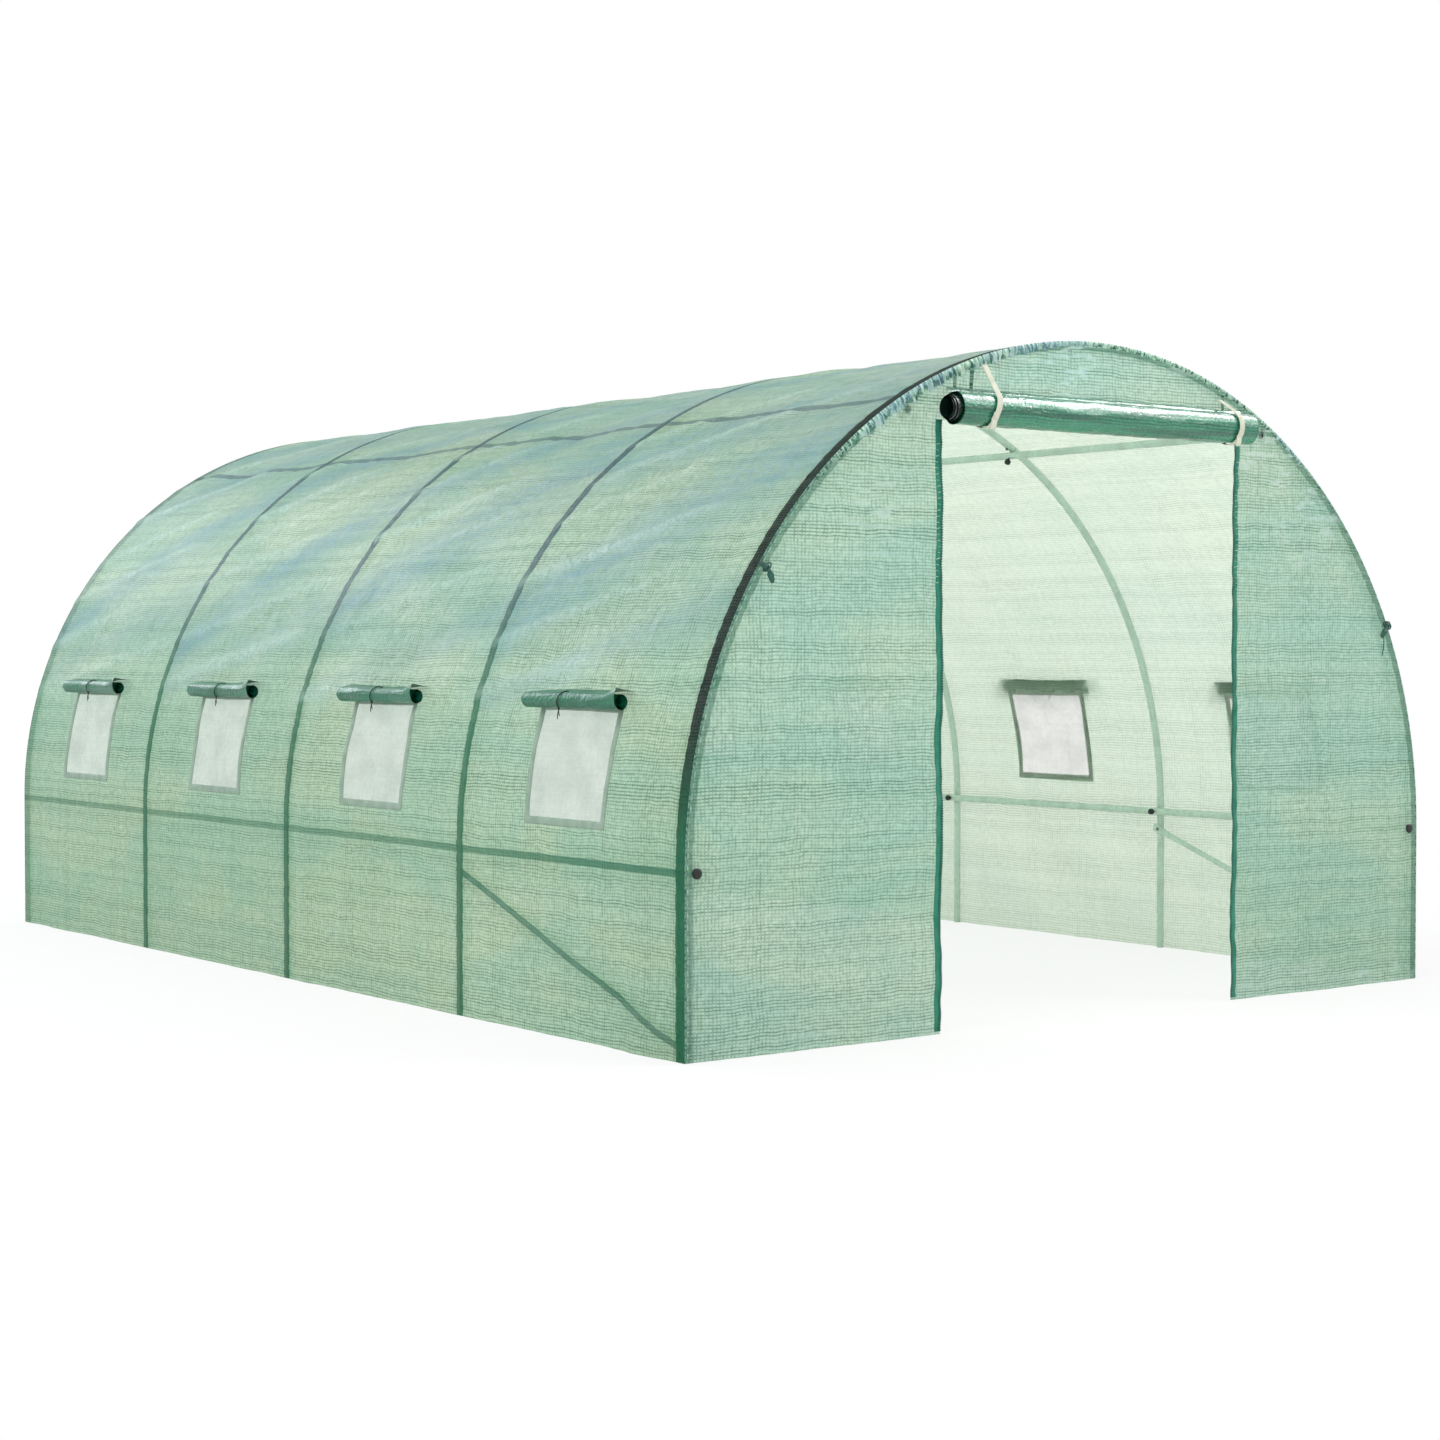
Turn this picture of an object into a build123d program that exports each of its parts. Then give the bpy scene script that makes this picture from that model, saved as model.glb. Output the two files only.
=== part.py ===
from build123d import *
from math import acos, asin, atan2, cos, degrees, hypot, radians, sin
import os

# Polytunnel greenhouse: tube hoops and rails under a sewn cover, with the door rolled up.
# Millimetres. X runs across the tunnel, Y along it with the door end at -Y, Z up from the ground.

# Overall size of the cover
width = 3000.0
height = 2000.0
length = 4500.0
cover_thickness = 2.0

# Frame tube, drawn with flat sides, and the swaged joints between its pieces
tube_diameter = 25.0
tube_wall = 0.8
tube_side_count = 8
spigot_length = 60.0
spigot_clearance = 0.2

# Hoops: two legs, two side arcs and a crown arc each
hoop_count = 5
hoop_setback = 32.0
joint_angle = 60.0

# Plugs in the open ends of the rails
cap_head = 4.0
cap_plug = 18.0

# Diagonal braces of the front bay, with flattened ends
brace_diameter = 19.0
brace_flat_thickness = 3.0
brace_flat_width = 27.0
brace_flat_length = 45.0
brace_taper = 40.0
brace_foot_height = 40.0
brace_drop = 65.0

# Doorway in the front end, its zips and the rolled door
door_width = 1200.0
door_headroom = 260.0
zip_width = 32.0
zip_thickness = 1.5
zip_foot = 8.0
roll_diameter = 100.0
roll_core_diameter = 56.0
roll_overhang = 15.0
roll_lift = 30.0

# Tapes that hold the rolled door
tie_width = 26.0
tie_thickness = 2.0
tie_rise = 140.0
left_tie_place = -450.0
right_tie_place = 520.0

# Net windows in the sides, one in each bay
window_width = 380.0
window_height = 325.0
window_rise = 105.0
net_thickness = 1.0
binding_width = 22.0
binding_thickness = 1.0
flap_diameter = 48.0
flap_core_diameter = 24.0
flap_length = 480.0
flap_side_count = 12
flap_lift = 18.0

# Clearance between pieces that lie on each other, and how far cuts run past what they cut
clearance = 0.3
overrun = 10.0

# Radii about the line where the arch springs from the walls
half_width = width / 2
spring_height = height - half_width
cover_inner = half_width - cover_thickness
tube_radius = tube_diameter / 2
bore_radius = tube_radius - tube_wall
spigot_radius = bore_radius - spigot_clearance
hoop_radius = cover_inner - clearance - tube_radius
rail_radius = hoop_radius - tube_diameter - clearance
spigot_angle = degrees(spigot_length / hoop_radius)
socket_angle = degrees((spigot_length + clearance) / hoop_radius)
overrun_angle = degrees(overrun / hoop_radius)
crown_end_angle = 180 - joint_angle

# Places along the tunnel, with the middle of its whole reach at the origin
roll_radius = roll_diameter / 2
roll_standoff = tie_thickness + 2 * clearance + roll_radius
roll_reach = roll_standoff + roll_radius + clearance + tie_thickness
middle = roll_reach / 2
front_face = middle - length / 2
back_face = middle + length / 2
front_inner = front_face + cover_thickness
back_inner = back_face - cover_thickness
cover_run = back_inner - front_inner
first_hoop = front_inner + hoop_setback
last_hoop = back_inner - hoop_setback
hoop_pitch = (last_hoop - first_hoop) / (hoop_count - 1)
hoop_places = [first_hoop + hoop_pitch * index for index in range(hoop_count)]
window_places = [place + hoop_pitch / 2 for place in hoop_places[:-1]]

# Rolled door and window flaps
roll_y = front_face - roll_standoff
door_height = height - door_headroom
roll_z = door_height + roll_lift
flap_radius = flap_diameter / 2
flap_distance = half_width + 2 * clearance + binding_thickness + flap_radius
window_sill = spring_height + window_rise
window_top = window_sill + window_height
flap_z = window_top + flap_lift
flap_x = flap_distance * cos(asin((flap_z - spring_height) / flap_distance))

os.makedirs("parts", exist_ok=True)


def save(part, name):
    """Label a finished piece and write it to its own file."""
    part.label = name
    export_step(part, f"parts/{name}.step")


def across(y):
    """Upright plane across the tunnel, with X to the right and Z up."""
    return Plane.XZ.offset(-y)


def tube_outline(radius, facing=0):
    """Section of a tube, with one of its flats facing a direction given as an angle."""
    turn = facing + 180 / tube_side_count
    with BuildSketch() as outline:
        RegularPolygon(radius, tube_side_count, major_radius=False, rotation=turn)
    return outline.sketch


def rail_place(angle):
    """Middle of a rail on the right side, at an angle above the spring line."""
    return (rail_radius * cos(radians(angle)), spring_height + rail_radius * sin(radians(angle)))


def bent_bar(y, start_angle, end_angle, radius):
    """Bar bent along the line of a hoop, between two angles above the right spring line."""
    radial = Vector(cos(radians(start_angle)), 0, sin(radians(start_angle)))
    tangent = Vector(-radial.Z, 0, radial.X)
    centre = Vector(0, y, spring_height)
    with BuildPart() as bar:
        with BuildSketch(Plane(centre + radial * hoop_radius, x_dir=radial, z_dir=tangent)):
            add(tube_outline(radius))
        revolve(axis=Axis(centre, (0, -1, 0)), revolution_arc=end_angle - start_angle)
    return bar.part


def cover_band(start_angle, end_angle, inner, outer):
    """Curved band of the cover, the whole length between the two end panels."""
    sweep_angle = end_angle - start_angle
    with BuildPart() as band:
        with BuildSketch(across(front_inner)):
            with BuildLine():
                outside = CenterArc((0, spring_height), outer, start_angle, sweep_angle)
                inside = CenterArc((0, spring_height), inner, start_angle, sweep_angle)
                Line(outside @ 0, inside @ 0)
                Line(outside @ 1, inside @ 1)
            make_face()
        extrude(amount=-cover_run)
    return band.part


def window_blocks(margin):
    """Blocks through the right side at every window, wider than the window by a margin."""
    with BuildPart() as blocks:
        with BuildSketch(Plane.YZ):
            with Locations(*[(y, window_sill + window_height / 2) for y in window_places]):
                Rectangle(window_width + 2 * margin, window_height + 2 * margin)
        extrude(amount=half_width + overrun)
    return blocks.part


def save_pair(part, name):
    """Write a piece of the right side and its mirror image on the left."""
    with BuildPart() as mirrored:
        mirror(part, about=Plane.YZ)
    save(part, f"right_{name}")
    save(mirrored.part, f"left_{name}")


# Hoops
for index, y in enumerate(hoop_places, start=1):
    with BuildPart() as legs:
        with BuildSketch():
            with Locations((hoop_radius, y), (-hoop_radius, y)):
                add(tube_outline(tube_radius))
                add(tube_outline(bore_radius), mode=Mode.SUBTRACT)
        extrude(amount=spring_height)
    save(legs.part, f"hoop_{index}_legs")

    with BuildPart() as side_arcs:
        add(bent_bar(y, 0, joint_angle, tube_radius))
        add(
            bent_bar(y, joint_angle - socket_angle, joint_angle + overrun_angle, bore_radius),
            mode=Mode.SUBTRACT,
        )
        with BuildSketch(Plane.XY.offset(spring_height)):
            with Locations((hoop_radius, y)):
                add(tube_outline(spigot_radius))
        extrude(amount=-spigot_length)
        mirror(about=Plane.YZ)
    save(side_arcs.part, f"hoop_{index}_side_arcs")

    with BuildPart() as crown:
        add(bent_bar(y, joint_angle, crown_end_angle, tube_radius))
        add(bent_bar(y, joint_angle - spigot_angle, crown_end_angle + spigot_angle, spigot_radius))
    save(crown.part, f"hoop_{index}_crown")

# Rails under the hoop joints, each with a flat against the hoops, and their end plugs
rail_front = front_inner + clearance + cap_head
rail_back = back_inner - clearance - cap_head
for name, angle in (("lower_rail", 0), ("upper_rail", joint_angle)):
    with BuildPart() as rail:
        with BuildSketch(across(rail_front)):
            with Locations(rail_place(angle)):
                add(tube_outline(tube_radius, angle))
                add(tube_outline(bore_radius, angle), mode=Mode.SUBTRACT)
        extrude(amount=rail_front - rail_back)
    save_pair(rail.part, name)

for name, y, inward in (("front_rail_caps", rail_front, -1), ("back_rail_caps", rail_back, 1)):
    with BuildPart() as caps:
        for radius, thickness in ((tube_radius, -cap_head), (spigot_radius, cap_plug)):
            with BuildSketch(across(y)):
                for angle in (0, joint_angle):
                    with Locations(rail_place(angle)):
                        add(tube_outline(radius, angle))
            extrude(amount=inward * thickness)
        mirror(about=Plane.YZ)
    save(caps.part, name)

# Braces from the foot of the first hoop to the second hoop, just under the lower rail
brace_x = hoop_radius - tube_radius - clearance - brace_flat_thickness / 2
brace_foot = Vector(brace_x, hoop_places[0], brace_foot_height)
brace_head = Vector(brace_x, hoop_places[1], spring_height - brace_drop)
brace_line = (brace_head - brace_foot).normalized()
brace_span = (brace_head - brace_foot).length
brace_radius = brace_diameter / 2
thin_share = brace_flat_thickness / brace_diameter
wide_share = brace_flat_width / brace_diameter
with BuildPart() as brace:
    with BuildSketch(Plane(brace_foot, x_dir=brace_line, z_dir=(1, 0, 0))):
        with Locations((0, 0), (brace_span, 0)):
            Circle(brace_flat_width / 2)
        for middle_place in (brace_flat_length / 2, brace_span - brace_flat_length / 2):
            with Locations((middle_place, 0)):
                Rectangle(brace_flat_length, brace_flat_width)
    extrude(amount=brace_flat_thickness / 2, both=True)
    for end, inward in ((brace_foot, 1), (brace_head, -1)):
        flat_end = end + brace_line * (inward * brace_flat_length)
        round_end = flat_end + brace_line * (inward * brace_taper)
        with BuildSketch(Plane(flat_end, x_dir=(1, 0, 0), z_dir=brace_line)):
            add(scale(tube_outline(brace_radius), by=(thin_share, wide_share, 1), mode=Mode.PRIVATE))
        with BuildSketch(Plane(round_end, x_dir=(1, 0, 0), z_dir=brace_line)):
            add(tube_outline(brace_radius))
        loft(ruled=True)
    bar_start = brace_foot + brace_line * (brace_flat_length + brace_taper)
    with BuildSketch(Plane(bar_start, x_dir=(1, 0, 0), z_dir=brace_line)):
        add(tube_outline(brace_radius))
    extrude(amount=brace_span - 2 * (brace_flat_length + brace_taper))
save_pair(brace.part, "front_brace")

# Cover along the sides and over the top
with BuildPart() as skirt:
    with BuildSketch():
        with Locations((cover_inner, front_inner)):
            Rectangle(cover_thickness, cover_run, align=Align.MIN)
    extrude(amount=spring_height)
save_pair(skirt.part, "skirt")

shoulder_angle = joint_angle / 2
with BuildPart() as window_band:
    add(cover_band(0, shoulder_angle, cover_inner, half_width))
    add(window_blocks(0), mode=Mode.SUBTRACT)
save_pair(window_band.part, "window_band")
save_pair(cover_band(shoulder_angle, joint_angle, cover_inner, half_width), "shoulder_band")
save_pair(cover_band(joint_angle, 90, cover_inner, half_width), "roof_band")

# Net panes, their bindings and the rolled flaps over them
with BuildPart() as nets:
    add(cover_band(0, shoulder_angle, cover_inner, cover_inner + net_thickness))
    add(window_blocks(-clearance), mode=Mode.INTERSECT)
save_pair(nets.part, "window_nets")

binding_inner = half_width + clearance
with BuildPart() as bindings:
    add(cover_band(0, shoulder_angle, binding_inner, binding_inner + binding_thickness))
    add(window_blocks(binding_width), mode=Mode.INTERSECT)
    add(window_blocks(0), mode=Mode.SUBTRACT)
save_pair(bindings.part, "window_bindings")

with BuildPart() as flaps:
    for y in window_places:
        with BuildSketch(across(y - flap_length / 2)):
            with Locations((flap_x, flap_z)):
                RegularPolygon(flap_radius, flap_side_count, major_radius=False)
                RegularPolygon(flap_core_diameter / 2, flap_side_count, mode=Mode.SUBTRACT)
        extrude(amount=-flap_length)
save_pair(flaps.part, "window_flaps")

# End panels: the outline of the tunnel, whole at the back and split round the doorway in front
with BuildSketch() as end_outline:
    with BuildLine():
        Polyline(
            (half_width, spring_height),
            (half_width, 0),
            (-half_width, 0),
            (-half_width, spring_height),
        )
        CenterArc((0, spring_height), half_width, 0, 180)
    make_face()

with BuildPart() as back_panel:
    with BuildSketch(across(back_inner)):
        add(end_outline.sketch)
    extrude(amount=-cover_thickness)
save(back_panel.part, "back_panel")

with BuildPart() as front_side_panel:
    with BuildSketch(across(front_face)):
        add(end_outline.sketch)
        with Locations((door_width / 2, 0)):
            Rectangle(width, height + overrun, align=Align.MIN, mode=Mode.INTERSECT)
    extrude(amount=-cover_thickness)
save_pair(front_side_panel.part, "front_panel")

with BuildPart() as front_top_panel:
    with BuildSketch(across(front_face)):
        add(end_outline.sketch)
        with Locations((0, door_height)):
            Rectangle(door_width, height, align=(Align.CENTER, Align.MIN), mode=Mode.INTERSECT)
    extrude(amount=-cover_thickness)
save(front_top_panel.part, "front_top_panel")

# Zip tapes beside the doorway
with BuildPart() as zip_tape:
    with BuildSketch(across(front_face)):
        with Locations((door_width / 2, zip_foot)):
            Rectangle(zip_width, door_height - zip_foot, align=Align.MIN)
    extrude(amount=zip_thickness)
save_pair(zip_tape.part, "door_zip")

# Door rolled up over its opening
with BuildPart() as door_roll:
    with BuildSketch(Plane.YZ):
        with Locations((roll_y, roll_z)):
            Circle(roll_radius)
            Circle(roll_core_diameter / 2, mode=Mode.SUBTRACT)
    extrude(amount=door_width / 2 + roll_overhang, both=True)
save(door_roll.part, "door_roll")

# Tapes from the top seam, over the front of the roll, under it and back to the panel
tie_bend = roll_radius + clearance + tie_thickness / 2
tie_top_y = front_face - clearance - tie_thickness / 2
tie_top_z = roll_z + tie_rise
tie_reach = hypot(tie_top_y - roll_y, tie_rise)
tie_touch_angle = degrees(atan2(tie_rise, tie_top_y - roll_y) + acos(tie_bend / tie_reach))
with BuildPart() as ties:
    for place in (left_tie_place, right_tie_place):
        with BuildSketch(Plane.YZ.offset(place - tie_width / 2)):
            with BuildLine():
                loop = CenterArc((roll_y, roll_z), tie_bend, tie_touch_angle, 360 - tie_touch_angle)
                Line((tie_top_y, tie_top_z), loop @ 0)
            trace(line_width=tie_thickness)
        extrude(amount=tie_width)
save(ties.part, "door_ties")
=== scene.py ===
import math

import bmesh
import bpy
import numpy as np
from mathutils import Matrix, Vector


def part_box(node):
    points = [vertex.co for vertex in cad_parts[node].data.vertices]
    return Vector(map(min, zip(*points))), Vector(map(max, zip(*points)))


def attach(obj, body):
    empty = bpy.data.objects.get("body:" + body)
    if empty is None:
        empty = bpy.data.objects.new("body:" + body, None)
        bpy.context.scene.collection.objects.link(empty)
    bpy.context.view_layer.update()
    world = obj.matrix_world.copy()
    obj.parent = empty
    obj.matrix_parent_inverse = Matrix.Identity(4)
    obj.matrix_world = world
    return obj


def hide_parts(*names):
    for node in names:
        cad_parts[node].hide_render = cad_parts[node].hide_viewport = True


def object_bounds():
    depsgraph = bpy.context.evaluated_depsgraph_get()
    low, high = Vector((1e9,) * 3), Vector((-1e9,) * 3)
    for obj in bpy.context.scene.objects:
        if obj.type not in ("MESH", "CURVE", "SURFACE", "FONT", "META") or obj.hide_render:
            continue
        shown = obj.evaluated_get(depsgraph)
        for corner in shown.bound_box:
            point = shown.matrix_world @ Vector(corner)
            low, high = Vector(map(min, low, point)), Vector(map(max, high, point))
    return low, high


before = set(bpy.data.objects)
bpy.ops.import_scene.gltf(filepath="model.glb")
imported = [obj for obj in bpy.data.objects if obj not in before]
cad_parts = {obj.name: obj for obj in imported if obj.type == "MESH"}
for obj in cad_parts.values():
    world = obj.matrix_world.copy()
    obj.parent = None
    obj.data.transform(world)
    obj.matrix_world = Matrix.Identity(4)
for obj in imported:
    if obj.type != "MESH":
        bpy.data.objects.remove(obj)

bl_info = {
    "name": "Walk-in polytunnel",
    "version": (1, 0, 0),
    "blender": (4, 5, 0),
    "location": "View3D > Sidebar > Polytunnel",
    "description": "Dresses the packed polytunnel with its film, tubes and fittings",
    "category": "Object",
}

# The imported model's own places, in metres
CAD_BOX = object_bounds()
HOOP_COUNT = 5
TUBE_R = 0.0125
FILM_HALF = 0.001
HALF_WIDTH = CAD_BOX[1].x
SPRING_Z = CAD_BOX[1].z - HALF_WIDTH
COVER_R = HALF_WIDTH - FILM_HALF
COVER_RUN = 2 * SPRING_Z + math.pi * COVER_R
FRONT_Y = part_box("left_front_panel")[0].y + FILM_HALF
BACK_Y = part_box("back_panel")[1].y - FILM_HALF


def middle(name):
    """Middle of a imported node's box."""
    low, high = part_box(name)
    return (low + high) / 2


HOOP_Y = [middle(f"hoop_{i + 1}_crown").y for i in range(HOOP_COUNT)]
BAY_Y = [(a + b) / 2 for a, b in zip(HOOP_Y, HOOP_Y[1:])]
HOOP_R = -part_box("hoop_2_legs")[0].x - TUBE_R
LOWER_RAIL = middle("left_lower_rail")
UPPER_RAIL = middle("left_upper_rail")
RAIL_ENDS = [end.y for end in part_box("left_lower_rail")]
DOOR_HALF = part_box("right_door_zip")[0].x
DOOR_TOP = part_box("front_top_panel")[0].z
ROLL = middle("door_roll")
ROLL_R = (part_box("door_roll")[1].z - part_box("door_roll")[0].z) / 2
NET_LOW, NET_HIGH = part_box("left_window_nets")
FLAP = middle("left_window_flaps")
FLAP_LOW, FLAP_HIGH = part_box("left_window_flaps")
FLAP_R = min(FLAP_HIGH.z - FLAP_LOW.z, FLAP_HIGH.x - FLAP_LOW.x) / 2
FLAP_HALF = 0.24
BRACE_LOW_Z, BRACE_HIGH_Z = 0.040, 0.435
BRACE_ENDS = ((HOOP_Y[0], BRACE_LOW_Z), (HOOP_Y[1], BRACE_HIGH_Z))
BRACE_FLAT_THIN, BRACE_FLAT_WIDE, BRACE_ROUNDED = 0.0018, 0.0138, 0.022
# Distance along the brace from its bolt, and how round it is there
BRACE_STATIONS = (
    (-0.0225, 0), (-0.021, 0), (0.020, 0), (0.028, 0.1), (0.040, 0.55), (0.052, 0.9), (0.06, 1),
)
WINDOW_HALF = 0.19
JOINT_ANGLES = (0.0, math.radians(60), math.radians(120), math.pi)
JOINT_GAP = 0.0012
SCREW_DEGREES = (59.0, 61.0, 119.0, 121.0)
NET_LAP = 0.004

# Places taken from the photograph, in metres
CAMERA_PLACE = (-5.5244, -7.7354, 1.0915)
CAMERA_YAW, CAMERA_PITCH = math.radians(36.785), math.radians(-1.547)
CAMERA_LENS = 65.26
PLUG_PROUD = 0.0085
PANEL_SEAM_X = {"left_panel_seam": -0.553, "middle_panel_seam": -0.489, "right_panel_seam": 0.55}
# Each tape's place across at its top and at its foot, and the height of its top
TAPES = {"left_tape": (-0.446, -0.485, 1.905), "right_tape": (0.531, 0.526, 1.860)}
# Each knot's side, height and length of tail
KNOTS = {"left_knot": (-1, 1.322, 0.0), "right_knot": (1, 1.178, 0.07)}
# Points that the end film's puckers spread from: x, z, reach, number of rays and strength
STARS = (
    (-0.725, 1.766, 0.10, 9, 1.0), (0.725, 1.766, 0.10, 9, 0.7),
    (-1.20, 1.31, 0.08, 7, 0.6), (1.27, 1.17, 0.09, 8, 1.0),
)

# Soft forms: creases in a bay, deepest sag, pitch of puckers and pleats, flat length of a gather by its
# own length, and the angle where a wound film ends
CREASES_A_BAY = 6
DEEPEST_SAG = 0.018
PUCKER_PITCH = 0.062
PLEAT_PITCH = 0.016
GATHER = 1.1
WOUND_END = math.radians(62)
# Painted sky sheen of the cover, a painted reflection: run up at the back and at the front of a bay, width
# and strength
SHEEN_BANDS = (
    (0.98, 1.30, 0.09, 0.5), (1.16, 1.86, 0.18, 1.0), (1.78, 2.34, 0.18, 0.9), (2.25, 2.75, 0.26, 0.9),
)
# Window binding: place across it as a share of its width, and height
BINDING = (
    (-0.5, 0.0002), (-0.42, 0.0016), (-0.2, 0.0022), (0.0, 0.0024),
    (0.2, 0.0022), (0.42, 0.0016), (0.5, 0.0002),
)
# Knot: distance inward, to the front and down along the hoop, and thickness along its length
KNOT_PATH = (
    (-0.010, 0.000, 0.000), (0.004, 0.010, 0.000), (0.022, 0.014, 0.006), (0.040, 0.012, 0.016),
    (0.052, 0.009, 0.024),
)
KNOT_THICKNESS = ((0, 0.005), (0.25, 0.009), (0.5, 0.007), (0.8, 0.009), (1, 0.003))

# Tones that the film's colour is multiplied by: red, green, blue and 1
CLOUD_DARK = (0.82, 0.94, 0.96, 1.0)
COVER_LIGHT = (0.98, 0.985, 0.955, 1.0)
END_LIGHT = (1.04, 1.02, 1.0, 1.0)
CRACKLE_DARK = (0.83, 0.87, 0.86, 1.0)
# Painted shade: the cover darker towards the ground
COVER_FOOT_SHADE = (0.83, 0.86, 0.79, 1.0)
# Painted reflection: a darker blue-grey band across the cover's shoulder
COVER_SHOULDER_REFLECTION = (0.86, 0.91, 0.93, 1.0)
# Painted shade: the end films darker towards the ground
END_FOOT_SHADE = (0.82, 0.85, 0.80, 1.0)
# Painted light: the end films lighter at their head
END_HEAD_LIGHT = (1.10, 1.12, 1.16, 1.0)
# Painted light: the film's inner face paler and more even
INNER_FACE_LIGHT = (0.98, 0.985, 0.98, 1.0)

# Turned small parts: distance along the axis, and radius (of the plugs, in tube radii)
KNOB = (
    (-0.002, 0.004), (0.006, 0.004), (0.006, 0.0085), (0.008, 0.0105),
    (0.017, 0.0105), (0.020, 0.0085), (0.021, 0.003),
)
SCREW = ((-0.001, 0.0062), (0.0012, 0.0062), (0.0016, 0.0045), (0.0050, 0.0043), (0.0054, 0.002))
PLUG_STEM = ((-0.012, 0.8), (-0.001, 0.8), (-0.001, 1.12))
PLUG_HEAD = ((0.0012, 1.16), (0.003, 1.05), (0.004, 0.7), (0.0042, 0.15))
THREAD = ((-0.0075, 0.0002), (-0.0055, 0.0012), (0.0055, 0.0012), (0.0075, 0.0002))

# Zip tooth seen from the front, and the pitches of teeth and stitches
TOOTH = (
    (-0.004, -0.0022), (0.003, -0.0022), (0.005, -0.0010), (0.005, 0.0010), (0.003, 0.0022),
    (-0.004, 0.0022),
)
TOOTH_PITCH, STITCH_PITCH = 0.0075, 0.031
# Tubes: length of the rounded rim at an end, its girth, and number of sides
RIM, RIM_GIRTH, TUBE_SIDES = 0.002, 0.94, 20

WHITE = (1.0, 1.0, 1.0, 1.0)
# A direction that no cord or tie follows
OBLIQUE = (0.31, 0.52, 0.79)
FRONT, UP, ALONG, ACROSS = (0.0, -1.0, 0.0), (0.0, 0.0, 1.0), (0.0, 1.0, 0.0), (1.0, 0.0, 0.0)
SIDES = (("left", -1), ("right", 1))
SEED = 7
FRONT_SEED, BACK_SEED = SEED + 20, SEED + 30


def paint(red, green, blue):
    """A colour as seen on screen, 0 to 255, in the linear values that shaders take."""
    steps = [value / 255 for value in (red, green, blue)]
    return tuple(v / 12.92 if v <= 0.04045 else ((v + 0.055) / 1.055) ** 2.4 for v in steps)


def length(name, description, default):
    return bpy.props.FloatProperty(
        name=name, description=description, default=default, min=0.0, unit="LENGTH"
    )


def number(name, description, default):
    return bpy.props.FloatProperty(
        name=name, description=description, default=default, min=0.0, max=1.0, subtype="FACTOR"
    )


def colour(name, description, *seen):
    return bpy.props.FloatVectorProperty(
        name=name, description=description, default=paint(*seen), size=3,
        min=0.0, max=1.0, subtype="COLOR",
    )


class TunnelSizes(bpy.types.PropertyGroup):
    """Sizes of the dressed pieces."""

    tube_diameter: length("Tube", "Outside diameter of the hoops and rails", 2 * TUBE_R)
    brace_diameter: length("Brace", "Outside diameter of the braces", 0.019)
    mesh_step: length("Film step", "Distance between points of the film", 0.017)
    bay_sag: length("Bay sag", "How far the film sinks between two hoops", 0.008)
    soft_wave: length("Soft waves", "Height of the film's soft waves", 0.003)
    crease: length("Crease", "Height of the tension creases", 0.006)
    pucker: length("Pucker", "Depth of the end film's puckers at the arch", 0.004)
    thread_along: length("Threads along", "Pitch of the upright threads", 0.0125)
    thread_across: length("Threads across", "Pitch of the level threads", 0.0094)
    seam_width: length("Seam", "Width of the gathered seam", 0.034)
    # Width of the painted shadow where a tube lies behind the film
    tube_shadow_width: length("Tube mark", "Width of the dark mark where a tube lies behind the film", 0.024)
    panel_seam: length("Panel seam", "Width of the short seams above the roll", 0.013)
    zip_width: length("Zip", "Width of the zip tape in sight", 0.023)
    tape_width: length("Tape", "Width of the roll's tapes", 0.021)
    tape_thickness: length("Tape thickness", "Thickness of the roll's tapes", 0.0014)
    binding_width: length("Binding", "Width of the window bindings", 0.022)
    backlight: number("Backlight", "Share of the film that passes light", 0.62)


class TunnelColours(bpy.types.PropertyGroup):
    """Colours of the finishes."""

    film: colour("Film", "Side film between its threads", 156, 194, 158)
    film_thread: colour("Film thread", "Dark threads of the side film", 18, 90, 64)
    film_glow: colour("Film glow", "Light that the side film passes", 242, 251, 236)
    # Painted shadows of the hoops, rails and braces behind the film, blue-grey on the roof like the painted
    # sky sheen
    painted_end_hoop_shadow: colour("Front hoop mark", "Cover where the front hoop lies behind it", 0, 26, 28)
    painted_hoop_shadow: colour("Hoop mark", "Film where another hoop lies behind it", 4, 116, 84)
    painted_roof_shadow: colour("Roof mark", "Roof film where a hoop or a rail lies behind it", 26, 76, 104)
    painted_rail_and_arch_shadow: colour("Rail mark", "Film where a rail or a brace lies behind it", 20, 118, 94)
    end_film: colour("End film", "End film between its threads", 164, 210, 182)
    end_thread: colour("End thread", "Dark threads of the end film", 16, 104, 78)
    end_glow: colour("End glow", "Light that the end film passes", 242, 252, 246)
    # Painted sky sheen, a painted reflection, on the roof film and on the seam
    painted_sky_sheen: colour("Sheen", "Blue-grey sheen of the roof film", 128, 168, 192)
    # Painted highlights on the cover's creases and on the end film
    painted_glint: colour("Glint", "Pale glints on creases and on the end film", 222, 236, 234)
    roll: colour("Rolled film", "Film wound on itself", 44, 150, 112)
    roll_shade: colour("Roll shade", "Dark bands of the wound film", 22, 84, 66)
    # Painted highlights on the seam's folds
    seam_painted_highlight: colour("Seam pale", "Pale folds of the gathered seam", 204, 226, 210)
    seam_dark: colour("Seam dark", "Dark folds of the gathered seam", 30, 92, 78)
    tube: colour("Tube", "Painted steel tube", 198, 220, 206)
    plug: colour("Plug", "Black moulded plugs and knobs", 18, 22, 22)
    net: colour("Net", "Window net", 222, 222, 218)
    binding: colour("Binding", "Window binding", 146, 170, 152)
    flap: colour("Flap", "Rolled window flap", 16, 112, 82)
    zip_tape: colour("Zip tape", "Tape of the door zips", 34, 138, 110)
    zip_teeth: colour("Zip teeth", "Teeth of the door zips", 22, 92, 74)
    cream: colour("Cream tape", "Tapes that hold the roll", 222, 224, 204)
    floor: colour("Floor", "Studio floor", 246, 246, 246)


def sizes():
    return bpy.context.scene.tunnel_sizes


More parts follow.
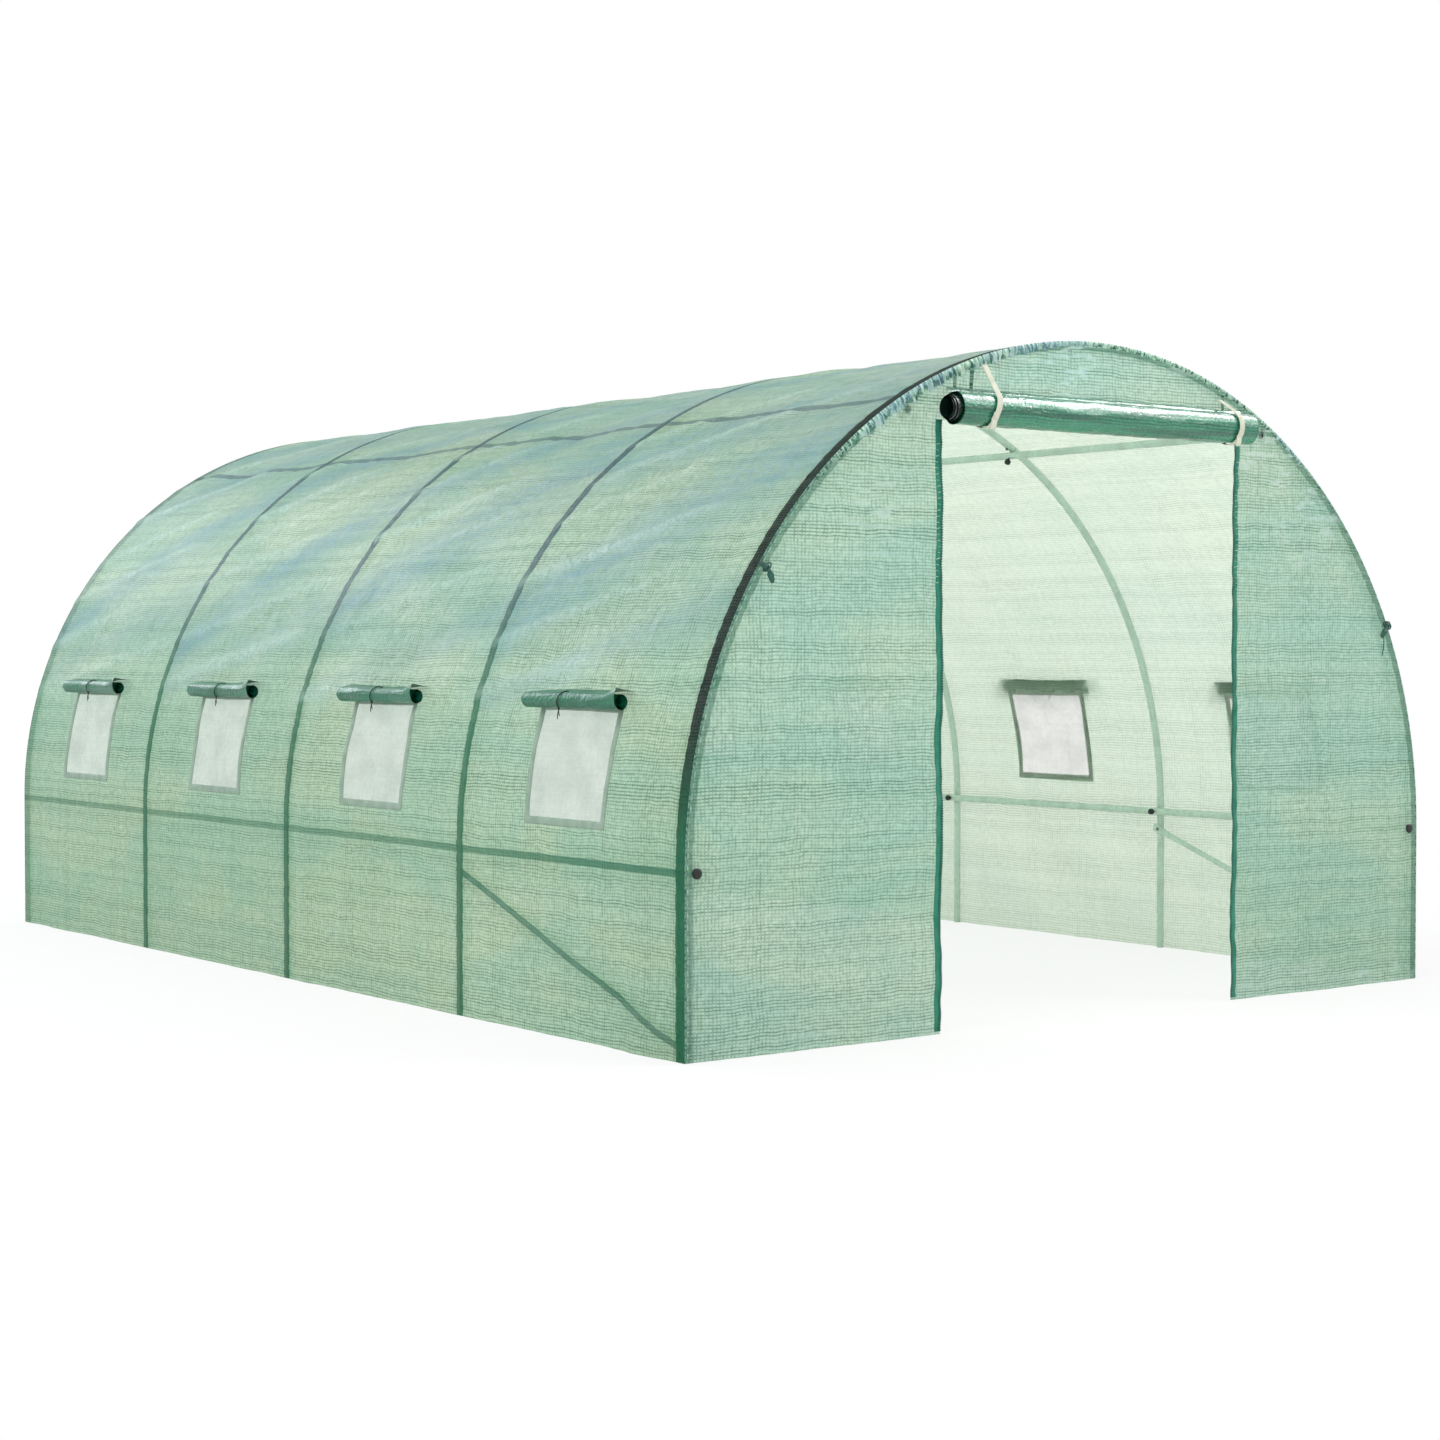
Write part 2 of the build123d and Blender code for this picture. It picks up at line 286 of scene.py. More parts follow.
def colours():
    return bpy.context.scene.tunnel_colours


def opaque(shade):
    return (*shade, 1.0)


# Node tree helpers


def node(tree, kind, values=None, **settings):
    """A new node with its options set and its inputs filled, or joined to the sockets given."""
    made = tree.nodes.new(kind)
    for key, value in settings.items():
        setattr(made, key, value)
    for key, value in (values or {}).items():
        if isinstance(value, bpy.types.NodeSocket):
            tree.links.new(value, made.inputs[key])
        else:
            made.inputs[key].default_value = value
    return made


def calc(tree, operation, *values):
    return node(tree, "ShaderNodeMath", dict(enumerate(values)), operation=operation).outputs[0]


def product(tree, first, *others):
    for other in others:
        first = calc(tree, "MULTIPLY", first, other)
    return first


def away(tree, value, place):
    """Distance of a value from a place."""
    return calc(tree, "ABSOLUTE", calc(tree, "SUBTRACT", value, place))


def blend(tree, share, first, second, mode="MIX"):
    """Mixes two colours."""
    values = {0: share, 6: first, 7: second}
    return node(tree, "ShaderNodeMix", values, data_type="RGBA", blend_type=mode).outputs[2]


def ramp(tree, value, low, high, to_low=0.0, to_high=1.0):
    """A smooth change from one level to another, as a value goes from low to high."""
    values = {"Value": value, "From Min": low, "From Max": high, "To Min": to_low, "To Max": to_high}
    return node(tree, "ShaderNodeMapRange", values, interpolation_type="SMOOTHSTEP").outputs[0]


def flat_map(tree):
    """The piece's own UV map, in metres on the film."""
    return node(tree, "ShaderNodeUVMap", uv_map="weave").outputs["UV"]


def object_place(tree):
    return node(tree, "ShaderNodeTexCoord").outputs["Object"]


def split(tree, vector):
    return node(tree, "ShaderNodeSeparateXYZ", {0: vector}).outputs


def stretched(tree, place, across, up):
    values = {"Vector": place, "Scale": (across, up, 1.0)}
    return node(tree, "ShaderNodeMapping", values).outputs[0]


def mottle(tree, place, scale, detail, **values):
    """Noise over a flat UV map."""
    values = {key.title(): value for key, value in values.items()}
    values |= {"Vector": place, "Scale": scale, "Detail": detail}
    return node(tree, "ShaderNodeTexNoise", values, noise_dimensions="2D").outputs["Fac"]


def relief(tree, height, strength, distance):
    values = {"Height": height, "Strength": strength, "Distance": distance}
    return node(tree, "ShaderNodeBump", values).outputs[0]


def group_with(name, kind, takes, gives):
    """A new node group with named inputs and outputs, and its two end nodes."""
    tree = bpy.data.node_groups.new(name, kind)
    for label, socket, default in takes:
        made = tree.interface.new_socket(name=label, in_out="INPUT", socket_type=socket)
        if default is not None:
            made.default_value = default
    for label, socket in gives:
        tree.interface.new_socket(name=label, in_out="OUTPUT", socket_type=socket)
    return tree, tree.nodes.new("NodeGroupInput"), tree.nodes.new("NodeGroupOutput")


def placed(tree, group, values):
    """The outputs of a shader group, put into a tree."""
    return node(tree, "ShaderNodeGroup", values, node_tree=group).outputs


def surface(tree, share, first, second):
    """Makes a mix of two shaders the material's surface."""
    both = node(tree, "ShaderNodeMixShader", {0: share, 1: first.outputs[0], 2: second.outputs[0]})
    tree.links.new(both.outputs[0], tree.nodes["Material Output"].inputs["Surface"])


# Shader groups that several finishes share


def weave_group():
    """Crossing threads of a woven film, each with its own weight."""
    name = "woven_threads"
    if name in bpy.data.node_groups:
        return bpy.data.node_groups[name]
    tree, start, end = group_with(
        name, "ShaderNodeTree",
        [
            ("Vector", "NodeSocketVector", None),
            ("Pitch Along", "NodeSocketFloat", 0.0125),
            ("Pitch Across", "NodeSocketFloat", 0.0094),
            ("Upright Share", "NodeSocketFloat", 0.55),
        ],
        [("Threads", "NodeSocketFloat"), ("Height", "NodeSocketFloat")],
    )
    place = start.outputs["Vector"]
    flat = split(tree, place)
    wander = mottle(tree, place, 7.0, 2.0)
    slub = mottle(tree, place, 55.0, 1.0)
    strengths = []
    for axis, pitch, weakest in ((0, "Pitch Along", 0.35), (1, "Pitch Across", 0.75)):
        moved = calc(tree, "MULTIPLY_ADD", wander, 0.016, flat[axis])
        count = calc(tree, "DIVIDE", moved, start.outputs[pitch])
        own = node(
            tree, "ShaderNodeTexWhiteNoise", {"W": calc(tree, "FLOOR", count)}, noise_dimensions="1D"
        )
        weight = calc(tree, "MULTIPLY_ADD", own.outputs[0], 0.65, 0.35)
        line = ramp(tree, away(tree, calc(tree, "FRACT", count), 0.5), 0.16, 0.38)
        worn = ramp(tree, slub, 0.30, 0.62, weakest, 1.0)
        strengths.append(product(tree, line, weight, worn))
    upright = product(tree, strengths[0], start.outputs["Upright Share"])
    both = calc(tree, "MAXIMUM", upright, strengths[1])
    tree.links.new(both, end.inputs["Threads"])
    tree.links.new(calc(tree, "SUBTRACT", 1.0, both), end.inputs["Height"])
    return tree


def crinkle_group():
    """Slow cloudy changes, small creases and fine crackle of a thin film."""
    name = "film_crinkle"
    if name in bpy.data.node_groups:
        return bpy.data.node_groups[name]
    tree, start, end = group_with(
        name, "ShaderNodeTree",
        [("Vector", "NodeSocketVector", None), ("Scale", "NodeSocketFloat", 1.0)],
        [(label, "NodeSocketFloat") for label in ("Clouds", "Creases", "Crackle")],
    )
    place = node(
        tree, "ShaderNodeVectorMath",
        {0: start.outputs["Vector"], "Scale": start.outputs["Scale"]}, operation="SCALE",
    ).outputs[0]
    clouds = mottle(tree, stretched(tree, place, 0.8, 1.9), 1.7, 3.0, roughness=0.55, distortion=0.6)
    ridge = away(tree, mottle(tree, place, 14.0, 2.0), 0.5)
    crackle = mottle(tree, place, 30.0, 4.0, roughness=0.75, distortion=1.8)
    tree.links.new(ramp(tree, clouds, 0.3, 0.7), end.inputs["Clouds"])
    tree.links.new(ramp(tree, ridge, 0.0, 0.22, 1.0, 0.0), end.inputs["Creases"])
    tree.links.new(ramp(tree, crackle, 0.34, 0.66), end.inputs["Crackle"])
    return tree


def scuff_group():
    """Speckles and worn patches of paint, plastic and tape."""
    name = "surface_scuff"
    if name in bpy.data.node_groups:
        return bpy.data.node_groups[name]
    tree, start, end = group_with(
        name, "ShaderNodeTree",
        [("Vector", "NodeSocketVector", None), ("Scale", "NodeSocketFloat", 30.0)],
        [("Patches", "NodeSocketFloat"), ("Grain", "NodeSocketFloat")],
    )
    for label, factor, low, high in (("Patches", 1.0, 0.35, 0.7), ("Grain", 14.0, 0.3, 0.7)):
        scale = product(tree, start.outputs["Scale"], factor)
        spots = node(
            tree, "ShaderNodeTexNoise",
            {"Vector": start.outputs["Vector"], "Scale": scale, "Detail": 4.0},
        )
        tree.links.new(ramp(tree, spots.outputs["Fac"], low, high), end.inputs[label])
    return tree


# Finishes


def material(name):
    """A new material, its tree and its main shader, or None for both if it is made already."""
    name = f"{name}_finish"
    made = bpy.data.materials.get(name)
    if made:
        return made, None, None
    made = bpy.data.materials.new(name)
    made.use_nodes = True
    return made, made.node_tree, made.node_tree.nodes["Principled BSDF"]


def drive(tree, shader, **sources):
    """Joins each source to the shader's socket of that name."""
    for key, source in sources.items():
        tree.links.new(source, shader.inputs[key.replace("_", " ").title()])


def let_through(tree, shader, share, **values):
    """Mixes the main shader with one that light passes, by a share."""
    values = {key.title(): value for key, value in values.items()}
    surface(tree, share, shader, node(tree, "ShaderNodeBsdfTranslucent", values))


def darker(shade, share=0.55):
    return tuple(value * share for value in shade)


def band(tree, off, width=1.0):
    """1 within half a tube of a line, 0 beside it."""
    half = sizes().tube_shadow_width / 2 * width
    return ramp(tree, off, half * 0.8, half * 1.2, 1.0, 0.0)


def painted_tube_shading(tree, off, shade, width):
    """Painted shading of a tube seen through the film: its shaded edges and its lit, paler middle."""
    half = sizes().tube_shadow_width / 2 * width
    lit = tuple(dark + 0.12 * (pale - dark) for dark, pale in zip(shade, colours().film))
    return blend(tree, ramp(tree, off, half * 0.2, half * 0.9), opaque(lit), opaque(shade))


def painted_tube_shadows(tree, uv):
    """Pairs of share and colour of painted shadows: how the rails, braces and hoops behind the cover darken
    it.
    """
    c = colours()
    flat = split(tree, uv)
    along = flat[0]
    run = calc(tree, "MINIMUM", flat[1], calc(tree, "SUBTRACT", COVER_RUN, flat[1]))
    off_rail = away(tree, run, SPRING_Z)
    fading = ramp(tree, along, HOOP_Y[0], HOOP_Y[2], 0.85, 0.5)
    rails = product(tree, band(tree, off_rail, 0.85), fading)
    upper_run = SPRING_Z + COVER_R * math.atan2(UPPER_RAIL.z - SPRING_Z, abs(UPPER_RAIL.x))
    uppers = product(tree, band(tree, away(tree, run, upper_run), 1.15), 0.62)
    pitch = HOOP_Y[1] - HOOP_Y[0]
    slope = (BRACE_HIGH_Z - BRACE_LOW_Z) / pitch
    level = calc(tree, "MULTIPLY_ADD", calc(tree, "SUBTRACT", along, HOOP_Y[0]), slope, BRACE_LOW_Z)
    off_brace = product(tree, away(tree, run, level), 1 / math.hypot(1, slope))
    in_bay = calc(tree, "LESS_THAN", along, HOOP_Y[1])
    rails = calc(tree, "MAXIMUM", rails, product(tree, band(tree, off_brace, 0.8), in_bay, 0.85))
    rail_shade = painted_tube_shading(tree, calc(tree, "MINIMUM", off_rail, off_brace), c.painted_rail_and_arch_shadow, 0.85)
    inner = calc(tree, "MINIMUM", calc(tree, "MAXIMUM", along, HOOP_Y[0]), HOOP_Y[-1])
    bays = calc(tree, "DIVIDE", calc(tree, "SUBTRACT", inner, HOOP_Y[0] - pitch / 2), pitch)
    frayed = ramp(tree, mottle(tree, uv, 48.0, 2.0), 0.3, 0.7, -0.0018, 0.0018)
    off_hoop = product(tree, away(tree, calc(tree, "FRACT", bays), 0.5), pitch)
    off_hoop = calc(tree, "ADD", off_hoop, frayed)
    # The painted hoop shadows fade where the film stands off the tube
    lifted = node(tree, "ShaderNodeAttribute", attribute_name="stand_off").outputs["Fac"]
    pressed = ramp(tree, lifted, 0.0012, 0.0045, 0.96, 0.55)
    tight = ramp(tree, lifted, 0.0012, 0.0045, 1.0, 0.5)
    first = calc(tree, "LESS_THAN", along, HOOP_Y[0] + pitch / 2)
    front = product(tree, band(tree, off_hoop, 0.75), tight, first)
    fainter = ramp(tree, along, HOOP_Y[-2], HOOP_Y[-1], 1.0, 0.4)
    hoops = product(
        tree, band(tree, off_hoop, 1.5), pressed, fainter, calc(tree, "SUBTRACT", 1.0, first)
    )
    # Painted hoop shadow colour: green low down, blue-grey on the roof like the painted sky sheen
    low_shade = painted_tube_shading(tree, off_hoop, c.painted_hoop_shadow, 1.5)
    high_shade = painted_tube_shading(tree, off_hoop, c.painted_roof_shadow, 1.5)
    hoop_shade = blend(tree, ramp(tree, run, 0.9, 1.5), low_shade, high_shade)
    # Painted shadow of the front hoop, darkest high on the arch
    up_front = ramp(tree, run, 0.45, 0.95)
    front_shade = blend(tree, up_front, opaque(c.painted_hoop_shadow), opaque(c.painted_end_hoop_shadow))
    return (rails, rail_shade), (uppers, opaque(c.painted_roof_shadow)), (hoops, hoop_shade), (front, front_shade)


def painted_arch_shadow(tree, uv):
    """Share and colour of the painted shadow that the end hoop leaves on an end film's edge."""
    flat = split(tree, uv)
    above = calc(tree, "MAXIMUM", calc(tree, "SUBTRACT", flat[1], SPRING_Z), 0.0)
    side = product(tree, flat[0], flat[0])
    radius = calc(tree, "SQRT", calc(tree, "MULTIPLY_ADD", above, above, side))
    share = product(tree, band(tree, away(tree, radius, HOOP_R)), 0.6)
    return share, opaque(colours().painted_rail_and_arch_shadow)


def glints(tree, uv):
    """Painted highlights: sparse level glint streaks high on an end film and at its foot."""
    height = split(tree, uv)[1]
    high = ramp(tree, height, 1.15, 1.6, 0.0, 0.85)
    low = ramp(tree, height, 0.03, 0.16, 0.6, 0.0)
    groups = ramp(tree, mottle(tree, uv, 2.6, 1.0), 0.46, 0.60)
    streaks = ramp(tree, mottle(tree, stretched(tree, uv, 7.0, 52.0), 1.0, 3.0), 0.54, 0.63)
    return product(tree, streaks, calc(tree, "MAXIMUM", high, low), groups)


def film_tone(tree, clouds, crackle, inside, cover):
    """What the film's colour is multiplied by, by its clouds, crackle, height and inner side: painted shade
    at the foot, a painted darker reflection band on the cover's shoulder, painted light at an end film's
    head, and a painted paler, even inner side.
    """
    tone = blend(tree, clouds, CLOUD_DARK, COVER_LIGHT if cover else END_LIGHT)
    height = split(tree, object_place(tree))[2]
    changes = [(ramp(tree, crackle, 0.0, 1.0, 1.0, 0.0), CRACKLE_DARK)]
    # Painted shade towards the ground, and painted light and reflection by height
    foot = ramp(tree, height, 0.0, 1.0, 0.8, 0.0)
    if cover:
        shoulder = product(tree, ramp(tree, height, 1.05, 1.12), ramp(tree, height, 1.2, 1.5, 1.0, 0.0))
        changes += [(foot, COVER_FOOT_SHADE), (shoulder, COVER_SHOULDER_REFLECTION)]
    else:
        changes += [(foot, END_FOOT_SHADE), (ramp(tree, height, 1.65, 1.95), END_HEAD_LIGHT)]
    for share, change in changes:
        tone = blend(tree, share, tone, change, "MULTIPLY")
    # Painted light: the inner face paler and more even
    return blend(tree, product(tree, inside, 0.75), tone, INNER_FACE_LIGHT)


def film_finish(name, gap, thread, glow, solid, cover):
    """Woven film that light passes. The solid shares are for its gaps and for its threads. Its colour also
    carries painted tube shadows, a painted sky sheen, painted highlights and a painted paler inner face.
    """
    made, tree, shader = material(name)
    if tree is None:
        return made
    c, s = colours(), sizes()
    uv = flat_map(tree)
    weave = placed(
        tree, weave_group(),
        {
            "Vector": uv, "Pitch Along": s.thread_along, "Pitch Across": s.thread_across,
            "Upright Share": 0.75,
        },
    )
    crinkle = placed(tree, crinkle_group(), {"Vector": uv})
    threads, clouds, crackle = weave["Threads"], crinkle["Clouds"], crinkle["Crackle"]
    # On the cover: painted tube shadows, a painted sky sheen and painted highlights on the crease ridges
    if cover:
        rails, uppers, hoops, front_hoop = painted_tube_shadows(tree, uv)
        sheen, creases = (
            node(tree, "ShaderNodeAttribute", attribute_name=label).outputs["Fac"]
            for label in ("sheen", "creases")
        )
        sheen = product(tree, sheen, ramp(tree, crackle, 0.0, 1.0, 0.3, 0.82))
        # Painted highlights on the ridges of the tension creases
        creases = product(tree, creases, ramp(tree, crackle, 0.0, 1.0, 0.15, 0.6))
        shines = (sheen, opaque(c.painted_sky_sheen)), (creases, opaque(c.painted_glint))
        painted_marks = (rails, *shines, uppers, hoops, front_hoop)
    else:
        # On an end film: the painted shadow of the end hoop and painted highlight glints
        painted_marks = (painted_arch_shadow(tree, uv), (glints(tree, uv), opaque(c.painted_glint)))
    # Painted light on the inner face: paler colour, fainter threads, even tone and none of the painted
    # marks
    inside = node(tree, "ShaderNodeNewGeometry").outputs["Backfacing"]
    outside = calc(tree, "SUBTRACT", 1.0, inside)
    painted_marks = [(product(tree, share, outside), shade) for share, shade in painted_marks]
    tone = film_tone(tree, clouds, crackle, inside, cover)
    seen = ramp(tree, inside, 0.0, 1.0, 1.0, 0.5)
    pair = []
    for between, share in ((gap, 1.0), (glow, 0.62)):
        # Painted light: the inner face's colour moved towards the glow colour
        ground = blend(tree, product(tree, inside, 0.4), opaque(between), opaque(glow))
        shade = blend(tree, product(tree, threads, share, seen), ground, opaque(thread))
        for mark, mark_shade in painted_marks:
            shade = blend(tree, mark, shade, mark_shade)
        shade = blend(tree, 1.0, shade, tone, "MULTIPLY")
        shade.node.clamp_result = True
        pair.append(shade)
    height = calc(tree, "MULTIPLY_ADD", weave["Height"], 0.25, crinkle["Creases"])
    bump = relief(tree, calc(tree, "MULTIPLY_ADD", crackle, 0.6, height), 0.35, 0.003)
    rough = ramp(tree, clouds, 0.0, 1.0, 0.42, 0.24)
    if cover:
        rough = calc(tree, "MAXIMUM", rough, product(tree, painted_marks[-1][0], 0.8))
    alpha = ramp(tree, threads, 0.0, 1.0, *solid)
    drive(tree, shader, base_color=pair[0], roughness=rough, alpha=alpha, normal=bump)
    shader.inputs["IOR"].default_value = 1.5
    let_through(tree, shader, s.backlight, color=pair[1], normal=bump)
    return made


def side_film():
    c = colours()
    return film_finish("side_film", c.film, c.film_thread, c.film_glow, (0.76, 0.96), True)


def end_film():
    c = colours()
    return film_finish("end_film", c.end_film, c.end_thread, c.end_glow, (0.66, 0.92), False)


def rolled_finish(name, shade, dark, gloss, core=0.0):
    """Film wound on itself: solid, shiny, with its threads and bands, and near-black painted shade up to
    its core's run.
    """
    made, tree, shader = material(name)
    if tree is None:
        return made
    uv = flat_map(tree)
    weave = placed(
        tree, weave_group(),
        {"Vector": uv, "Pitch Along": sizes().thread_along, "Pitch Across": sizes().thread_across},
    )
    crinkle = placed(tree, crinkle_group(), {"Vector": uv, "Scale": 3.0})
    stripes = mottle(tree, stretched(tree, uv, 2.2, 46.0), 1.0, 3.0)
    base = blend(tree, weave["Threads"], opaque(shade), opaque(dark))
    base = blend(tree, ramp(tree, stripes, 0.42, 0.66, 0.0, 0.75), base, opaque(dark))
    # Painted shade: the roll's inner turns made near-black
    if core:
        wound = ramp(tree, split(tree, uv)[1], core, core + 0.1, 0.92, 0.0)
        base = blend(tree, wound, base, opaque(colours().plug))
    height = calc(tree, "MULTIPLY_ADD", weave["Height"], 0.2, crinkle["Creases"])
    bump = relief(tree, calc(tree, "MULTIPLY_ADD", stripes, 2.0, height), 0.45, 0.003)
    rough = ramp(tree, crinkle["Clouds"], 0.0, 1.0, gloss, gloss + 0.2)
    drive(tree, shader, base_color=base, roughness=rough, normal=bump)
    shader.inputs["Coat Weight"].default_value = 0.5 if gloss < 0.25 else 0.1
    shader.inputs["Coat Roughness"].default_value = 0.12
    return made


def scuffed_finish(name, shade, dark, roughness, metal=0.0, scale=30.0):
    """Paint, plastic or zinc with grain and worn patches."""
    made, tree, shader = material(name)
    if tree is None:
        return made
    scuff = placed(tree, scuff_group(), {"Vector": object_place(tree), "Scale": scale})
    patches, grain = scuff["Patches"], scuff["Grain"]
    base = blend(tree, product(tree, patches, 0.55), opaque(shade), opaque(dark))
    base = blend(tree, product(tree, grain, 0.18), base, opaque(dark))
    rough = ramp(tree, patches, 0.0, 1.0, roughness, roughness + 0.18)
    drive(tree, shader, base_color=base, roughness=rough, normal=relief(tree, grain, 0.3, 0.0006))
    shader.inputs["Metallic"].default_value = metal
    return made


def tube_paint():
    tube = colours().tube
    return scuffed_finish("tube_paint", tube, darker(tube, 0.72), 0.26, 0.1, 18.0)


def plug_plastic():
    return scuffed_finish("plug_plastic", colours().plug, darker(colours().plug), 0.42, 0.0, 60.0)


def black_tie():
    return scuffed_finish("black_tie", colours().plug, darker(colours().plug), 0.7, 0.0, 150.0)


def zinc():
    return scuffed_finish("zinc_screw", paint(150, 158, 156), paint(90, 98, 96), 0.3, 0.9, 80.0)


def zip_plastic():
    teeth = colours().zip_teeth
    return scuffed_finish("zip_teeth", teeth, darker(teeth), 0.35, 0.0, 120.0)


def pale_thread():
    return scuffed_finish("pale_thread", paint(176, 212, 190), paint(96, 150, 124), 0.7, 0.0, 90.0)


def woven_tape(name, shade, dark, pitch):
    """Cloth tape with fine crossing ribs."""
    made, tree, shader = material(name)
    if tree is None:
        return made
    uv = flat_map(tree)
    weave = placed(
        tree, weave_group(),
        {"Vector": uv, "Pitch Along": pitch, "Pitch Across": pitch, "Upright Share": 0.8},
    )
    scuff = placed(tree, scuff_group(), {"Vector": uv, "Scale": 25.0})
    base = blend(tree, product(tree, weave["Threads"], 0.5), opaque(shade), opaque(dark))
    base = blend(tree, product(tree, scuff["Patches"], 0.35), base, opaque(dark))
    rough = ramp(tree, scuff["Patches"], 0.0, 1.0, 0.6, 0.85)
    bump = relief(tree, weave["Height"], 0.5, 0.0008)
    drive(tree, shader, base_color=base, roughness=rough, normal=bump)
    return made


def net_finish():
    """Fine see-through net."""
    made, tree, shader = material("window_net")
    if tree is None:
        return made
    net = colours().net
    uv = flat_map(tree)
    weave = placed(
        tree, weave_group(),
        {"Vector": uv, "Pitch Along": 0.003, "Pitch Across": 0.003, "Upright Share": 1.0},
    )
    scuff = placed(tree, scuff_group(), {"Vector": uv, "Scale": 9.0})
    base = blend(tree, scuff["Patches"], opaque(net), opaque(darker(net, 0.8)))
    alpha = ramp(tree, weave["Threads"], 0.0, 1.0, 0.2, 0.7)
    rough = ramp(tree, scuff["Grain"], 0.0, 1.0, 0.5, 0.8)
    drive(tree, shader, base_color=base, alpha=alpha, roughness=rough)
    let_through(tree, shader, 0.45, color=base)
    return made


def seam_finish(name="gathered_seam", painted_light_share=1.0):
    """Gathered film edge: dark, green and blue-grey folds, with pale ones high on the arch. The seam's
    painted light: lighter folds and painted highlights high on the arch, and a painted blue-grey sky sheen.
    """
    made, tree, shader = material(name)
    if tree is None:
        return made
    c = colours()
    uv = flat_map(tree)
    place = split(tree, object_place(tree))
    # Painted light: the seam lighter high on the arch and towards its left
    high = ramp(tree, place[2], 1.55, 1.80, 0.08 * painted_light_share, painted_light_share)
    right = ramp(tree, place[0], -0.45, 0.2, 1.0, 0.4)
    folds = mottle(tree, stretched(tree, uv, 120.0, 22.0), 1.0, 3.0)
    clouds = placed(tree, crinkle_group(), {"Vector": uv, "Scale": 2.0})["Clouds"]
    green = product(tree, ramp(tree, folds, 0.40, 0.52), ramp(tree, high, 0.1, 0.8, 0.35, 1.0))
    # Painted highlights on the fold crests
    pale = product(tree, ramp(tree, folds, 0.53, 0.60), high, right)
    # Painted sky sheen on the folds
    blue = product(tree, ramp(tree, clouds, 0.5, 0.9, 0.0, 0.45), high)
    base = opaque(c.seam_dark)
    for share, shade in ((green, c.end_film), (pale, c.seam_painted_highlight), (blue, c.painted_sky_sheen)):
        base = blend(tree, share, base, opaque(shade))
    rough = ramp(tree, clouds, 0.0, 1.0, 0.3, 0.5)
    drive(tree, shader, base_color=base, roughness=rough, normal=relief(tree, folds, 0.5, 0.003))
    return made


# Mesh helpers


def in_scene(name, data):
    """A new object in the scene."""
    made = bpy.data.objects.new(name, data)
    bpy.context.scene.collection.objects.link(made)
    return made


def grid_faces(rows, columns, closed=False):
    index = np.arange(rows * columns).reshape(rows, columns)
    if closed:
        index = np.hstack([index, index[:, :1]])
    corners = [index[:-1, :-1], index[1:, :-1], index[1:, 1:], index[:-1, 1:]]
    return np.stack(corners, -1).reshape(-1, 4)


def turned_out(points, faces, outward):
    """The faces, all turned over if they look away from the outward direction or directions."""
    outward = np.broadcast_to(outward, points.shape)
    corner = points[faces]
    normal = np.cross(corner[:, 2] - corner[:, 0], corner[:, 3] - corner[:, 1])
    if (normal * outward[faces].mean(1)).sum() < 0:
        return faces[:, ::-1]
    return faces


def piece(name, points, faces, finish, uvs=None, smooth=True):
    """A new mesh object whose place is in its points."""
    mesh = bpy.data.meshes.new(name)
    mesh.from_pydata(np.asarray(points).tolist(), [], [list(map(int, face)) for face in faces])
    mesh.update()
    if uvs is not None:
        corner = np.empty(len(mesh.loops), np.int32)
        mesh.loops.foreach_get("vertex_index", corner)
        layer = mesh.uv_layers.new(name="weave")
        layer.data.foreach_set("uv", np.asarray(uvs, np.float32)[corner].ravel())
    if smooth:
        mesh.shade_smooth()
    else:
        mesh.shade_flat()
    mesh.materials.append(finish)
    return in_scene(name, mesh)


def grid_piece(name, points, outward, finish, uvs):
    """A sheet over a grid of points, with its faces turned outward."""
    flat = points.reshape(-1, 3)
    outward = np.broadcast_to(outward, points.shape).reshape(-1, 3)
    faces = turned_out(flat, grid_faces(*points.shape[:2]), outward)
    return piece(name, flat, faces, finish, uvs.reshape(-1, 2))


def joined(parts):
    """Several (points, faces, uvs) as one."""
    points, faces, uvs, start = [], [], [], 0
    for part_points, part_faces, part_uvs in parts:
        points.append(np.asarray(part_points, float).reshape(-1, 3))
        faces += [[int(i) + start for i in face] for face in part_faces]
        uvs.append(np.asarray(part_uvs, float).reshape(-1, 2))
        start += len(points[-1])
    return np.concatenate(points), faces, np.concatenate(uvs)


def merged(obj, reach, outward):
    """Merges points within a reach, and turns the faces of closed shells outwards if asked."""
    mesh = bmesh.new()
    mesh.from_mesh(obj.data)
    bmesh.ops.remove_doubles(mesh, verts=mesh.verts, dist=reach)
    if outward:
        bmesh.ops.recalc_face_normals(mesh, faces=mesh.faces)
    mesh.to_mesh(obj.data)
    mesh.free()
    return obj


def shell(name, parts, finish, smooth=True, uv_size=1.0):
    """Closed skins as one piece."""
    points, faces, uvs = joined(parts)
    return merged(piece(name, points, faces, finish, uvs * uv_size, smooth), 1e-6, True)


def round_about(count):
    """Cosines and sines of even steps round a circle."""
    turn = np.linspace(0, 2 * math.pi, count, endpoint=False)
    return np.cos(turn), np.sin(turn)


def loft(rings):
    """A closed skin over rings of points: points, faces and uvs."""
    rings = np.asarray(rings, float)
    count, around = rings.shape[:2]
    faces = grid_faces(count, around, closed=True).tolist()
    faces.append(list(range(around))[::-1])
    faces.append(list(range((count - 1) * around, count * around)))
    u, v = np.meshgrid(np.linspace(0, 1, around), np.linspace(0, 1, count))
    return rings.reshape(-1, 3), faces, np.stack([u, v], -1).reshape(-1, 2)


